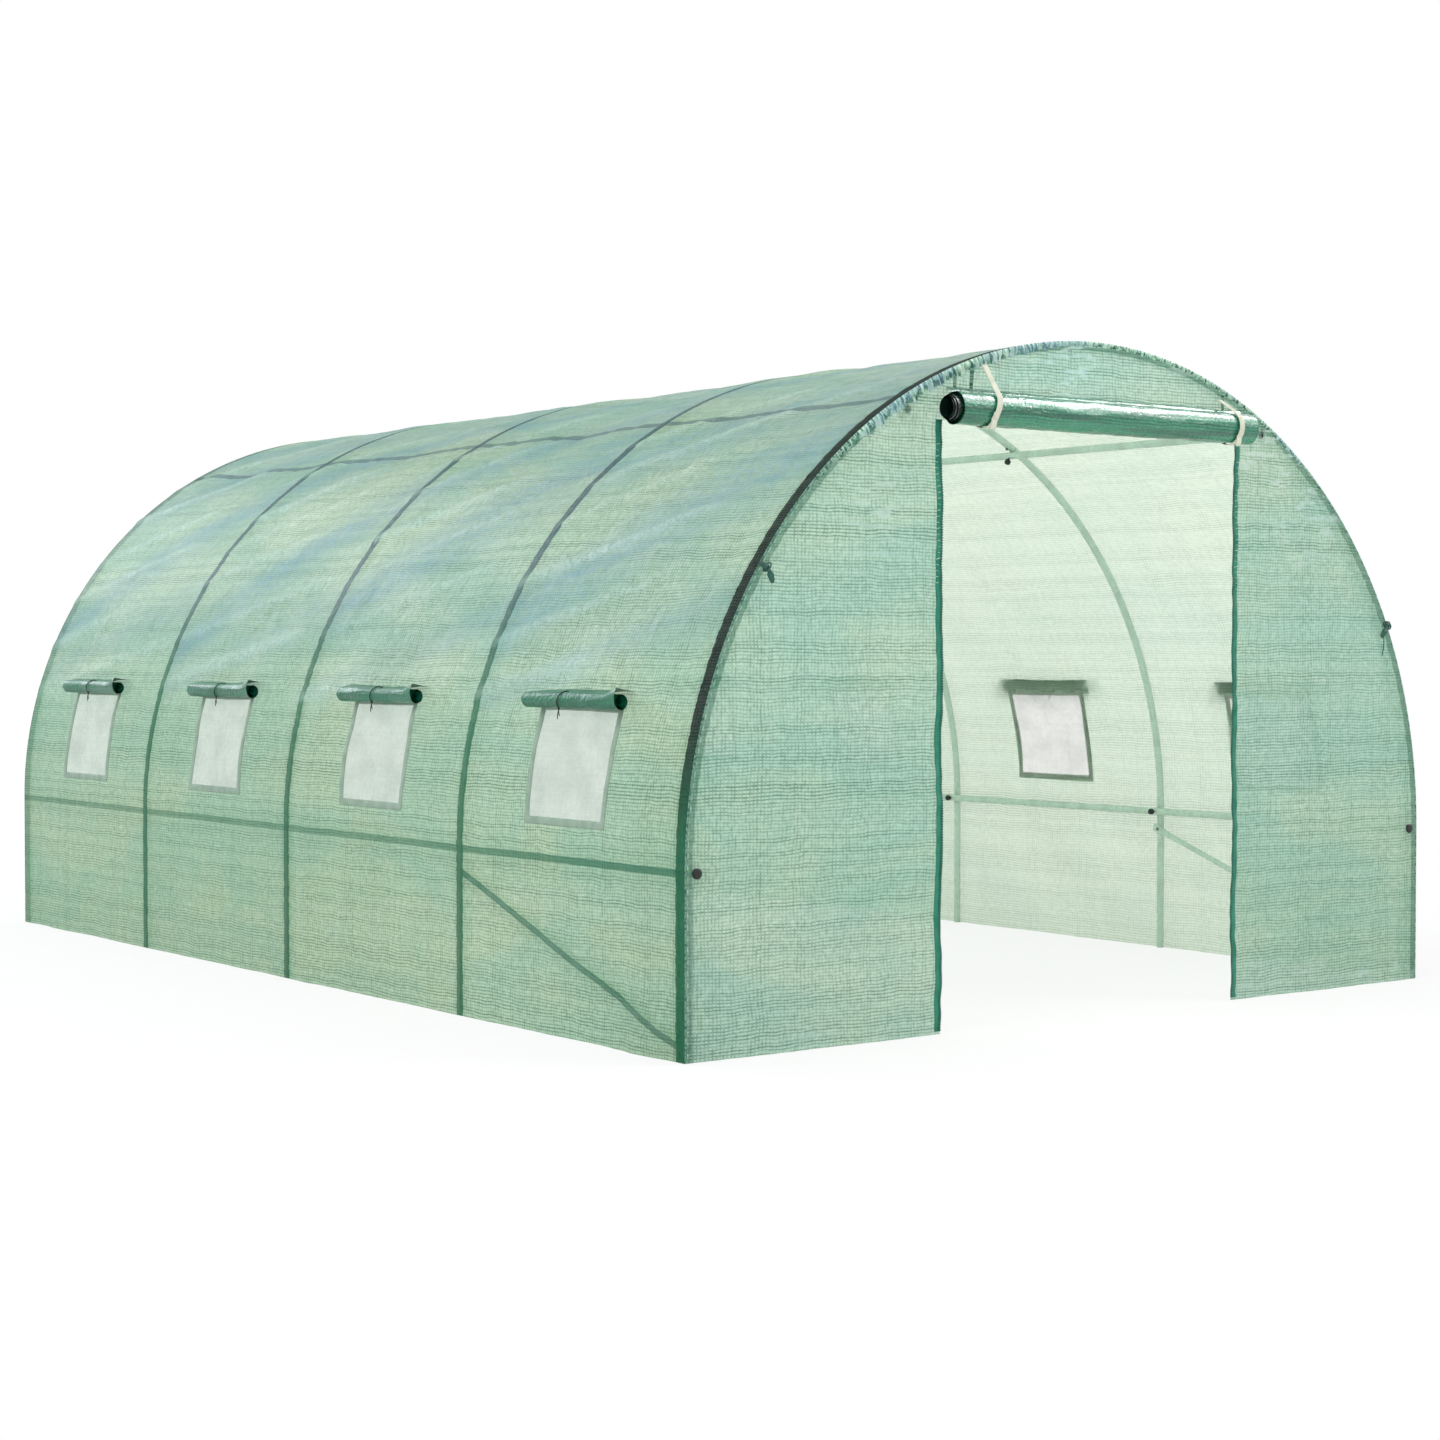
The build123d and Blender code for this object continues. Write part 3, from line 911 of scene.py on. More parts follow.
def round_skin(path, radius, around=8):
    """A round closed skin along a path."""
    path = np.asarray(path, float)
    radius = np.broadcast_to(np.asarray(radius, float), (len(path),))
    ahead = np.gradient(path, axis=0)
    ahead /= np.linalg.norm(ahead, axis=1, keepdims=True)
    side = np.cross(ahead[0], OBLIQUE)
    across, up = (part[:, None] for part in round_about(around))
    rings = []
    for point, way, size in zip(path, ahead, radius):
        side = side - way * (side @ way)
        side /= np.linalg.norm(side)
        rings.append(point + size * (across * side + up * np.cross(way, side)))
    return loft(rings)


def ring_path(centre, first, second, radius, count, start=0.0, end=2 * math.pi):
    """Points round a circle, from the first direction towards the second."""
    turn = np.linspace(start, end, count)[:, None]
    return centre + radius * (np.cos(turn) * first + np.sin(turn) * second)


def solid_film(obj, thickness):
    """Gives a strip its thickness."""
    wall = obj.modifiers.new("thickness", "SOLIDIFY")
    wall.thickness = thickness
    wall.offset = 0.0
    return obj


def kept(obj, slot, *nodes):
    """Puts a finished piece on the frame."""
    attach(obj, "root")
    if nodes:
        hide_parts(*nodes)
    return obj


# Geometry node trees


def finish_tree(tree, start, end, shape):
    """Makes the instances real, gives them the finish and ends the tree."""
    whole = node(tree, "GeometryNodeRealizeInstances", {0: shape})
    values = {"Geometry": whole.outputs[0], "Material": start.outputs["Finish"]}
    finish = node(tree, "GeometryNodeSetMaterial", values)
    tree.links.new(finish.outputs[0], end.inputs[0])
    return tree


def tube_tree():
    """Round bars along the edges of a mesh."""
    name = "bars_along_paths"
    if name in bpy.data.node_groups:
        return bpy.data.node_groups[name]
    tree, start, end = group_with(
        name, "GeometryNodeTree",
        [
            ("Geometry", "NodeSocketGeometry", None),
            ("Radius", "NodeSocketFloat", TUBE_R),
            ("Sides", "NodeSocketInt", TUBE_SIDES),
            ("Finish", "NodeSocketMaterial", None),
        ],
        [("Geometry", "NodeSocketGeometry")],
    )
    line = node(tree, "GeometryNodeMeshToCurve", {"Mesh": start.outputs["Geometry"]})
    ring = node(
        tree, "GeometryNodeCurvePrimitiveCircle",
        {"Resolution": start.outputs["Sides"], "Radius": start.outputs["Radius"]},
    )
    girth = node(tree, "GeometryNodeInputNamedAttribute", {"Name": "girth"}, data_type="FLOAT")
    bar = node(
        tree, "GeometryNodeCurveToMesh",
        {
            "Curve": line.outputs[0], "Profile Curve": ring.outputs[0],
            "Scale": girth.outputs[0], "Fill Caps": True,
        },
    )
    smooth = node(tree, "GeometryNodeSetShadeSmooth", {"Geometry": bar.outputs[0]})
    return finish_tree(tree, start, end, smooth.outputs[0])


def scatter_tree():
    """One small piece at every point, turned to face along and up."""
    name = "pieces_at_points"
    if name in bpy.data.node_groups:
        return bpy.data.node_groups[name]
    tree, start, end = group_with(
        name, "GeometryNodeTree",
        [
            ("Geometry", "NodeSocketGeometry", None),
            ("Piece", "NodeSocketObject", None),
            ("Least Size", "NodeSocketFloat", 1.0),
            ("Most Size", "NodeSocketFloat", 1.0),
            ("Turn", "NodeSocketFloat", 0.0),
            ("Seed", "NodeSocketInt", SEED),
            ("Finish", "NodeSocketMaterial", None),
        ],
        [("Geometry", "NodeSocketGeometry")],
    )
    shape = node(tree, "GeometryNodeObjectInfo", {"Object": start.outputs["Piece"]})
    up, along = (
        node(tree, "GeometryNodeInputNamedAttribute", {"Name": label}, data_type="FLOAT_VECTOR").outputs[0]
        for label in ("up", "along")
    )
    facing = node(
        tree, "FunctionNodeAxesToRotation", {0: up, 1: along}, primary_axis="Z", secondary_axis="X"
    )
    turn = start.outputs["Turn"]
    ranges = (
        (start.outputs["Least Size"], start.outputs["Most Size"]),
        (calc(tree, "MULTIPLY", turn, -1.0), turn),
    )
    size, spin = (
        node(
            tree, "FunctionNodeRandomValue", {2: least, 3: most, "Seed": start.outputs["Seed"]},
            data_type="FLOAT",
        ).outputs[1]
        for least, most in ranges
    )
    about = node(tree, "ShaderNodeCombineXYZ", {2: spin})
    own = node(tree, "FunctionNodeEulerToRotation", {0: about.outputs[0]})
    turned = node(
        tree, "FunctionNodeRotateRotation",
        {0: facing.outputs[0], 1: own.outputs[0]}, rotation_space="LOCAL",
    )
    laid = node(
        tree, "GeometryNodeInstanceOnPoints",
        {
            "Points": start.outputs["Geometry"], "Instance": shape.outputs["Geometry"],
            "Rotation": turned.outputs[0], "Scale": size,
        },
    )
    return finish_tree(tree, start, end, laid.outputs[0])


def baked(obj, tree, values):
    """Runs a node tree on an object and keeps the result as its plain mesh."""
    shape = obj.modifiers.new("shape", "NODES")
    shape.node_group = tree
    for item in tree.interface.items_tree:
        if item.item_type == "SOCKET" and item.in_out == "INPUT" and item.name in values:
            shape[item.identifier] = values[item.name]
    graph = bpy.context.evaluated_depsgraph_get()
    mesh = bpy.data.meshes.new_from_object(obj.evaluated_get(graph))
    obj.modifiers.remove(shape)
    before = obj.data
    obj.data = mesh
    bpy.data.meshes.remove(before)
    mesh.name = obj.name
    return obj


def bars(name, paths, radius, finish):
    """Round bars along paths, with slightly rounded ends."""
    points, edges, girth = [], [], []
    for path in paths:
        path = np.asarray(path, float)
        first, last = path[1] - path[0], path[-2] - path[-1]
        after = path[0] + first * RIM / np.linalg.norm(first)
        before = path[-1] + last * RIM / np.linalg.norm(last)
        run = [path[0], after, *path[1:-1], before, path[-1]]
        start = len(points)
        points += [tuple(p) for p in run]
        edges += [(start + i, start + i + 1) for i in range(len(run) - 1)]
        girth += [RIM_GIRTH] + [1.0] * (len(run) - 2) + [RIM_GIRTH]
    mesh = bpy.data.meshes.new(name)
    mesh.from_pydata(points, edges, [])
    mesh.attributes.new("girth", "FLOAT", "POINT").data.foreach_set("value", girth)
    values = {"Radius": radius, "Sides": TUBE_SIDES, "Finish": finish}
    return baked(in_scene(name, mesh), tube_tree(), values)


def scattered(name, points, ups, alongs, shape, finish, least=1.0, most=1.0, turn=0.0):
    """Copies of a small shape at points. The shape itself is removed."""
    mesh = bpy.data.meshes.new(name)
    mesh.from_pydata(np.asarray(points).tolist(), [], [])
    for label, ways in (("up", ups), ("along", alongs)):
        data = np.broadcast_to(np.asarray(ways, np.float32), (len(points), 3))
        made = mesh.attributes.new(label, "FLOAT_VECTOR", "POINT")
        made.data.foreach_set("vector", np.ascontiguousarray(data).ravel())
    obj = baked(
        in_scene(name, mesh), scatter_tree(),
        {"Piece": shape, "Least Size": least, "Most Size": most, "Turn": turn, "Finish": finish},
    )
    old = shape.data
    bpy.data.objects.remove(shape)
    bpy.data.meshes.remove(old)
    return obj


# Shape of the film


def arch(run, radius=COVER_R):
    """Place (x, z) and outward direction at a run up from the left foot, over the top and down."""
    run = np.asarray(run, float)
    turn = np.clip((run - SPRING_Z) / radius, 0.0, math.pi)
    down = run - SPRING_Z - math.pi * radius
    x = -radius * np.cos(turn)
    z = SPRING_Z + radius * np.sin(turn)
    z = np.where(run < SPRING_Z, run, np.where(down > 0, SPRING_Z - down, z))
    return x, z, -np.cos(turn), np.sin(turn)


def arch_top(x):
    return SPRING_Z + np.sqrt(np.maximum(COVER_R**2 - x**2, 0))


def run_at(height):
    """Run up the left side to a height above the springing."""
    return SPRING_Z + COVER_R * math.asin((height - SPRING_Z) / COVER_R)


def window_runs():
    return run_at(NET_LOW.z), run_at(NET_HIGH.z)


def waves(u, v, count, shortest, longest, seed, tilt=math.pi, about=0.0):
    """Smooth seeded waves of about unit height."""
    draw = np.random.default_rng(seed)
    total = np.zeros(np.broadcast(u, v).shape)
    for _ in range(count):
        size = shortest * (longest / shortest) ** draw.random()
        way = about + tilt * (draw.random() - 0.5)
        shift = 2 * math.pi * draw.random()
        total += np.sin(2 * math.pi * (u * math.cos(way) + v * math.sin(way)) / size + shift)
    return total / math.sqrt(count / 2)


def smooth_step(value, low, high):
    share = np.clip((value - low) / (high - low), 0, 1)
    return share * share * (3 - 2 * share)


def bell(value):
    return np.exp(-(value**2))


def crease_lines():
    """Long tension creases on the left side: run and y at the two ends, height and width."""
    draw = np.random.default_rng(SEED)
    lines = []
    for back, front in zip(HOOP_Y[1:], HOOP_Y):
        for k in range(CREASES_A_BAY):
            low = 0.92 + 0.19 * k + 0.07 * (draw.random() - 0.5)
            rise = 0.24 + 0.10 * k + 0.10 * (draw.random() - 0.5)
            start = back + (0.10 + 0.12 * draw.random())
            reach = min(0.55 + 0.5 * draw.random(), 1.0)
            end = start + (front - start) * reach
            height = 0.6 + 0.6 * draw.random()
            width = 0.016 + 0.012 * draw.random()
            lines.append((low, start, low + rise * reach, end, height, width))
    return lines


def off_line(u, v, line):
    """Distance to a crease line, and how far along it, 0 to 1."""
    u0, v0, u1, v1 = line[:4]
    du, dv = u1 - u0, v1 - v0
    along = np.clip(((u - u0) * du + (v - v0) * dv) / (du * du + dv * dv), 0, 1)
    return np.hypot(u - u0 - along * du, v - v0 - along * dv), along


def crease_rise(run, y):
    """Height of the tension creases on both sides, about 0 to 1."""
    rise = np.zeros(np.broadcast(run, y).shape)
    for line in crease_lines():
        height, width = line[4:]
        for side in (run, COVER_RUN - run):
            apart, along = off_line(side, y, line)
            ends = smooth_step(along, 0.0, 0.25) * smooth_step(1 - along, 0.0, 0.25)
            rise = rise + height * ends * bell(apart / width)
    return rise


def bay_of(y):
    """Number of the bay at a place along, and the places of its two hoops."""
    hoops = np.asarray(HOOP_Y)
    bay = np.clip(np.searchsorted(hoops, y) - 1, 0, HOOP_COUNT - 2)
    return bay, hoops[bay], hoops[bay + 1]


def cover_lift(run, y):
    """How far the cover stands out from its arch, over a grid of runs and places along."""
    s = sizes()
    run, y = np.asarray(run, float), np.asarray(y, float)
    _, front, back = bay_of(y)
    share = np.clip((y - front) / (back - front), 0, 1)
    height = arch(run)[1]
    at_rail = bell((height - SPRING_Z) / 0.05)
    pull = 0.35 + 0.65 * smooth_step(height, 0.2, 1.4) + 0.6 * at_rail
    lift = -s.bay_sag * pull * (1 - (2 * share - 1) ** 2)
    off_hoop = np.abs(y[..., None] - np.asarray(HOOP_Y)).min(-1)
    free = smooth_step(off_hoop, 0.02, 0.12)
    broad = waves(run, y, 10, 0.28, 0.8, SEED + 1, 1.4, 0.9)
    fine = waves(run, y, 14, 0.07, 0.16, SEED + 2, 1.6, 0.9)
    lift = lift + s.soft_wave * free * broad
    lift = lift + 0.3 * s.soft_wave * (0.3 + 0.7 * free) * fine
    return np.maximum(lift + s.crease * crease_rise(run, y), -DEEPEST_SAG)


def cover_sheen(run, y):
    """Share of painted sky sheen, a painted reflection, on the cover: slanted bands that climb to the front
    in every bay.
    """
    side = np.minimum(run, COVER_RUN - run)
    bay, front, back = bay_of(y)
    share = np.clip((back - y) / (back - front), 0, 1)
    own = 2 * bay + (run > COVER_RUN / 2)
    draw = np.random.default_rng(SEED + 5)
    total = np.zeros(np.shape(run))
    for low, high, width, strength in SHEEN_BANDS:
        shift = (0.16 * (draw.random(2 * HOOP_COUNT) - 0.5))[own]
        wide = width * (0.7 + 0.5 * draw.random(2 * HOOP_COUNT))[own] * (0.6 + 0.6 * share)
        total += strength * bell((side - low - (high - low) * share - shift) / wide)
    streaks = waves(side - 0.35 * share, 0.4 * y, 9, 0.05, 0.3, SEED + 6, 0.5)
    return np.clip(total * (0.85 + 0.15 * streaks), 0, 1)


def cover_points(run, y, out=0.0):
    """Points on the cover at runs and places along, lifted out by a little."""
    x, z, nx, nz = arch(run)
    lift = cover_lift(run, y) + out
    y = np.broadcast_to(y, lift.shape)
    return np.stack([x + nx * lift, y, np.maximum(z + nz * lift, 0.0)], -1)


def lines_through(stops, step):
    """Places through every stop, about a step apart."""
    found = [stops[0]]
    for a, b in zip(stops, stops[1:]):
        count = max(1, round((b - a) / step))
        found += [a + (b - a) * (i + 1) / count for i in range(count)]
    return np.array(found)


def end_lift(x, z, seed):
    """How far an end film stands out, over the arch's face."""
    s = sizes()
    above = np.maximum(z - SPRING_Z, 0)
    radius = np.where(z > SPRING_Z, np.hypot(x, z - SPRING_Z), np.abs(x))
    inside = np.maximum(COVER_R - radius, 0)
    turn = np.arctan2(above, x)
    uneven = 2.2 * waves(turn, 0 * turn, 5, 0.2, 0.7, seed)
    gather = np.sin(turn * COVER_R * 2 * math.pi / PUCKER_PITCH + uneven)
    high = 0.25 + 0.75 * smooth_step(z, 0.4, 1.3)
    lift = s.pucker * gather * high * np.exp(-inside / 0.05) * smooth_step(inside, 0.0, 0.01)
    calm = smooth_step(inside, 0.0, 0.12)
    lift = lift + s.soft_wave * calm * waves(x, z, 9, 0.25, 0.8, seed + 1)
    lift = lift + 0.35 * s.soft_wave * calm * waves(x, z, 16, 0.06, 0.16, seed + 2)
    for star_x, star_z, reach, rays, share in STARS:
        apart = np.hypot(x - star_x, z - star_z)
        ray = np.maximum(np.cos(rays * np.arctan2(z - star_z, x - star_x) + star_x), 0) ** 3
        fading = np.exp(-apart / reach) * smooth_step(apart, 0.0, 0.03)
        lift = lift + 1.6 * s.pucker * share * ray * fading
    return lift


def on_front(x, z, out):
    """Points on the front film, lifted out by a little."""
    return np.stack([x, FRONT_Y - end_lift(x, z, FRONT_SEED) - out, z], -1)


def end_block(xs, floor_z, roof_z, rows):
    """Grid of (x, z) between two heights at every x."""
    share = np.linspace(0, 1, rows)[:, None]
    z = floor_z[None, :] * (1 - share) + roof_z[None, :] * share
    return np.broadcast_to(xs, z.shape), z


def end_sheet(name, y, way, seed, door):
    """An end film on the arch's face, with or without the doorway."""
    step = sizes().mesh_step
    count = round((math.pi / 2 - math.asin(DOOR_HALF / COVER_R)) * COVER_R / step)
    side = COVER_R * np.cos(np.linspace(0, math.acos(DOOR_HALF / COVER_R), count))
    side[-1] = DOOR_HALF
    top = np.linspace(-DOOR_HALF, DOOR_HALF, round(2 * DOOR_HALF / step))
    share = DOOR_TOP / arch_top(DOOR_HALF)
    low_rows, high_rows = round(DOOR_TOP / step), 10
    blocks = []
    for xs in (-side, side[::-1]):
        roof = arch_top(xs)
        blocks.append(end_block(xs, 0 * xs, roof * share, low_rows))
        blocks.append(end_block(xs, roof * share, roof, high_rows))
    blocks.append(end_block(top, 0 * top + DOOR_TOP, arch_top(top), high_rows))
    if not door:
        blocks.append(end_block(top, 0 * top, 0 * top + DOOR_TOP, low_rows))
    parts = []
    for x, z in blocks:
        points = np.stack([x, y + way * end_lift(x, z, seed), z], -1).reshape(-1, 3)
        faces = turned_out(points, grid_faces(*x.shape), (0.0, way, 0.0))
        parts.append((points, faces, np.stack([x, z], -1).reshape(-1, 2)))
    points, faces, uvs = joined(parts)
    return merged(piece(name, points, faces, end_film(), uvs), 2e-5, False)


def gathered_seam(name, y, way, seed):
    """Pleated strip on the end film's edge, where the cover meets it, and its flat area."""
    s = sizes()
    run = np.arange(0.0, COVER_RUN, 0.0032)
    across = np.linspace(0, 1, 7)
    x, z, nx, nz = arch(run, COVER_R + 0.0006)
    tall = 0.20 + 0.80 * smooth_step(z, 1.48, 1.78) * (1 - 0.7 * smooth_step(x, -0.5, 0.0))
    drift = waves(run, 0 * run, 6, 0.05, 0.4, seed)
    fold = np.sin(2 * math.pi * run / PLEAT_PITCH + 1.8 * drift)
    fold = np.sign(fold) * np.abs(fold) ** 0.7
    ragged = np.clip(0.9 + 0.09 * waves(run, 0 * run, 8, 0.012, 0.06, seed + 1), 0.5, 1.2)
    points = []
    for share in across:
        width = s.seam_width * tall * ragged * share
        crown = math.sin(math.pi * min(share * 1.25, 1.0))
        puffed = 0.0035 * crown * (1 + 0.8 * fold) + 0.0022 * share * np.maximum(fold, 0)
        out = y + way * (0.0006 + tall * puffed)
        slide = 0.002 * share * np.sin(2 * math.pi * run / 0.033 + drift)
        low = np.maximum(z - nz * width - nx * slide, 0)
        points.append(np.stack([x - nx * width + nz * slide, out, low], -1))
    uvs = np.stack(np.meshgrid(run, across * s.seam_width), -1)
    made = grid_piece(name, np.array(points), (0.0, way, 0.0), seam_finish(), uvs)
    return made, GATHER * COVER_RUN * s.seam_width * max(0.31, (tall * ragged).mean())


def spiral(turns, inner, outer, per_turn):
    """Angles and radii of film wound from the core out."""
    turn = np.linspace(0, 2 * math.pi * turns, round(turns * per_turn) + 1)
    return WOUND_END - turn[-1] + turn, inner + (outer - inner) * turn / turn[-1]


def wound_film(name, points, axis, centre, finish):
    """A film wound round an axis through a centre, and the length that is wound."""
    step = np.linalg.norm(np.diff(points.mean(1), axis=0), axis=1)
    wound = np.concatenate([[0], np.cumsum(step)])
    outward = points - np.asarray(centre)
    outward[..., axis] = 0
    uvs = np.stack([points[..., axis], np.broadcast_to(wound[:, None], points.shape[:2])], -1)
    return grid_piece(name, points, outward, finish, uvs), float(wound[-1])


def stitch():
    """One short thread, along x."""
    across, up = round_about(6)
    rings = [np.stack([0 * up + d, r * across, 0.6 * r * up], -1) for d, r in THREAD]
    return shell("stitch", [loft(rings)], pale_thread())


# Operators


class Stage(bpy.types.Operator):
    """Sets up the camera, the floor, the world and the lamps"""

    bl_idname = "polytunnel.stage"
    bl_label = "Stage"

    def execute(self, context):
        scene = context.scene
        scene.view_settings.view_transform = "Standard"
        data = bpy.data.cameras.new("camera")
        data.sensor_width, data.lens = 36.0, CAMERA_LENS
        data.clip_end = 200.0
        scene.camera = in_scene("camera", data)
        level = math.cos(CAMERA_PITCH)
        ahead = (math.sin(CAMERA_YAW) * level, math.cos(CAMERA_YAW) * level, math.sin(CAMERA_PITCH))
        self.aim(scene.camera, CAMERA_PLACE, Vector(ahead))
        self.world(scene)
        self.floor()
        self.lamp("key_softbox", (-7.5, -3.5, 7.5), 7.0, 335.0)
        self.lamp("front_softbox", (6.0, -6.5, 7.0), 5.0, 262.0)
        strip = self.lamp("roll_strip", (7.0, -2.6, 8.4), 5.0, 500.0)
        strip.data.shape, strip.data.size_y = "RECTANGLE", 2.5
        strip.visible_diffuse = strip.visible_transmission = False
        self.lamp("roof_softbox", (-3.0, 10.0, 6.5), 6.0, 420.0, (0.86, 0.94, 1.0))
        return {"FINISHED"}

    def aim(self, obj, place, ahead):
        obj.location = place
        obj.rotation_mode = "QUATERNION"
        obj.rotation_quaternion = ahead.to_track_quat("-Z", "Y")

    def world(self, scene):
        """White to the eye and in reflections, a little darker as a light."""
        scene.world = bpy.data.worlds.new("studio")
        scene.world.use_nodes = True
        tree = scene.world.node_tree
        path = node(tree, "ShaderNodeLightPath").outputs
        seen = path["Is Camera Ray"]
        for label in ("Is Glossy Ray", "Is Transmission Ray"):
            seen = calc(tree, "MAXIMUM", seen, path[label])
        back = tree.nodes["Background"]
        back.inputs["Color"].default_value = WHITE
        drive(tree, back, strength=calc(tree, "MULTIPLY_ADD", seen, 0.25, 0.75))

    def floor(self):
        """A pale floor that turns to plain white away from the tunnel."""
        made, tree, shader = material("studio_floor")
        place = object_place(tree)
        scuff = placed(tree, scuff_group(), {"Vector": place, "Scale": 2.0})
        shade = colours().floor
        base = blend(tree, scuff["Patches"], opaque(shade), opaque(darker(shade, 0.985)))
        drive(tree, shader, base_color=base)
        shader.inputs["Roughness"].default_value = 0.9
        shader.inputs["Specular IOR Level"].default_value = 0.1
        white = node(tree, "ShaderNodeEmission", {"Color": WHITE, "Strength": 1.0})
        far = node(tree, "ShaderNodeVectorMath", {0: place}, operation="LENGTH").outputs["Value"]
        camera = node(tree, "ShaderNodeLightPath").outputs["Is Camera Ray"]
        surface(tree, product(tree, camera, ramp(tree, far, 3.0, 5.2, 0.75, 1.0)), shader, white)
        half, low = 60.0, -0.001
        corners = [(-half, -half, low), (half, -half, low), (half, half, low), (-half, half, low)]
        piece("studio_floor", corners, [(0, 1, 2, 3)], made)

    def lamp(self, name, place, size, power, tint=(1.0, 1.0, 1.0)):
        """An area lamp that looks at the tunnel's middle."""
        data = bpy.data.lights.new(name, "AREA")
        data.color = tint
        data.shape, data.size, data.energy = "DISK", size, power
        made = in_scene(name, data)
        self.aim(made, place, Vector((0, 0, 0.8)) - Vector(place))
        return made


class Hoops(bpy.types.Operator):
    """Bends the five hoops from round tube, in the lengths they come in"""

    bl_idname = "polytunnel.hoops"
    bl_label = "Hoops"

    def execute(self, context):
        gap = JOINT_GAP / 2
        for i, y in enumerate(HOOP_Y):
            paths = [[(x, y, 0.0), (x, y, SPRING_Z - gap)] for x in (-HOOP_R, HOOP_R)]
            for a, b in zip(JOINT_ANGLES, JOINT_ANGLES[1:]):
                turn = np.linspace(a + gap / HOOP_R, b - gap / HOOP_R, 26)
                x, z = -HOOP_R * np.cos(turn), SPRING_Z + HOOP_R * np.sin(turn)
                paths.append(np.stack([x, 0 * turn + y, z], -1))
            tube = bars(f"hoop_{i + 1}", paths, sizes().tube_diameter / 2, tube_paint())
            kept(tube, "frame_tube", *(f"hoop_{i + 1}_{part}" for part in ("legs", "side_arcs", "crown")))
        return {"FINISHED"}


class Rails(bpy.types.Operator):
    """Lays the four lengthways rails and their end plugs"""

    bl_idname = "polytunnel.rails"
    bl_label = "Rails and plugs"

    def execute(self, context):
        gap = JOINT_GAP / 2
        stops = (RAIL_ENDS[0], BAY_Y[1], BAY_Y[3], RAIL_ENDS[1])
        plugs = {"front_rail_caps": [], "back_rail_caps": []}
        for side, way in SIDES:
            for level, rail in (("lower", LOWER_RAIL), ("upper", UPPER_RAIL)):
                x, z = way * abs(rail.x), rail.z
                paths = [[(x, a + gap, z), (x, b - gap, z)] for a, b in zip(stops, stops[1:])]
                tube = bars(f"{side}_{level}_rail_tube", paths, sizes().tube_diameter / 2, tube_paint())
                kept(tube, "frame_tube", f"{side}_{level}_rail")
                proud = PLUG_PROUD if level == "lower" else 0.0
                plugs["front_rail_caps"].append(self.plug(x, RAIL_ENDS[0], z, -1, proud))
                plugs["back_rail_caps"].append(self.plug(x, RAIL_ENDS[1], z, 1, 0.0))
        for name, parts in plugs.items():
            kept(shell(f"{name}_moulded", parts, plug_plastic()), "black_plug", name)
        return {"FINISHED"}

    def plug(self, x, y, z, facing, proud):
        """A domed plug head with its short stem in the tube."""
        radius = sizes().tube_diameter / 2
        across, up = (radius * part for part in round_about(24))
        profile = [*PLUG_STEM, *((d + proud, r) for d, r in PLUG_HEAD)]
        return loft(
            [np.stack([x + r * across, 0 * up + y + facing * d, z + r * up], -1) for d, r in profile]
        )


class Braces(bpy.types.Operator):
    """Makes the two diagonal braces with their flattened, bolted ends"""

    bl_idname = "polytunnel.braces"
    bl_label = "Braces"

    def execute(self, context):
        radius = sizes().brace_diameter / 2
        circle = round_about(20)
        for side, _ in SIDES:
            x = middle(f"{side}_front_brace").x
            start, end = (np.array([x, *place]) for place in BRACE_ENDS)
            total = np.linalg.norm(end - start)
            ahead = (end - start) / total
            up = np.cross(ahead, ACROSS)
            far = [(total - along, share) for along, share in reversed(BRACE_STATIONS)]
            rings = []
            for along, share in (*BRACE_STATIONS, *far):
                thin = radius * share + BRACE_FLAT_THIN * (1 - share)
                wide = radius * share + BRACE_FLAT_WIDE * (1 - share)
                if along < -BRACE_ROUNDED or along > total + BRACE_ROUNDED:
                    wide *= 0.7
                square = 1 - 0.55 * (1 - share)
                out, rise = (np.sign(part) * np.abs(part) ** square for part in circle)
                middle_line = start + along * ahead
                rings.append(middle_line + np.outer(thin * out, ACROSS) + np.outer(wide * rise, up))
            made = shell(f"{side}_brace_tube", [loft(rings)], tube_paint())
            kept(made, "frame_tube", f"{side}_front_brace")
        return {"FINISHED"}


class Fasteners(bpy.types.Operator):
    """Puts knobs, bolt heads and joint screws on the frame"""

    bl_idname = "polytunnel.fasteners"
    bl_label = "Knobs and bolts"

    def execute(self, context):
        radius = sizes().tube_diameter / 2
        knobs, screws = [], []
        for y in HOOP_Y:
            for _, way in SIDES:
                for rail in (LOWER_RAIL, UPPER_RAIL):
                    x = way * abs(rail.x)
                    inward = -Vector((x, 0, rail.z - SPRING_Z)).normalized()
                    knobs.append((Vector((x, y, rail.z)) + inward * radius, inward))
            for degrees in SCREW_DEGREES:
                turn = math.radians(degrees)
                inward = Vector((math.cos(turn), 0, -math.sin(turn)))
                at = Vector((-HOOP_R * math.cos(turn), y, SPRING_Z + HOOP_R * math.sin(turn)))
                screws.append((at + inward * radius, inward))
        for side, way in SIDES:
            inward = Vector((-way, 0, 0))
            for place in BRACE_ENDS:
                at = Vector((middle(f"{side}_front_brace").x, *place))
                screws.append((at + inward * BRACE_FLAT_THIN, inward))
        kept(self.turned_parts("rail_knobs", knobs, KNOB, 12, plug_plastic()), "black_plug")
        kept(self.turned_parts("joint_screws", screws, SCREW, 8, zinc()), "frame_tube")
        return {"FINISHED"}

    def turned_parts(self, name, places, profile, sides, finish):
        """The same turned part at every place, with its axis inward."""
        across, up = round_about(sides)
        rings = [np.stack([r * across, r * up, 0 * up + d], -1) for d, r in profile]
        shape = shell("turned_part", [loft(rings)], plug_plastic(), smooth=False)
        points, inwards = ([tuple(place[k]) for place in places] for k in (0, 1))
        return scattered(name, points, inwards, ALONG, shape, finish)


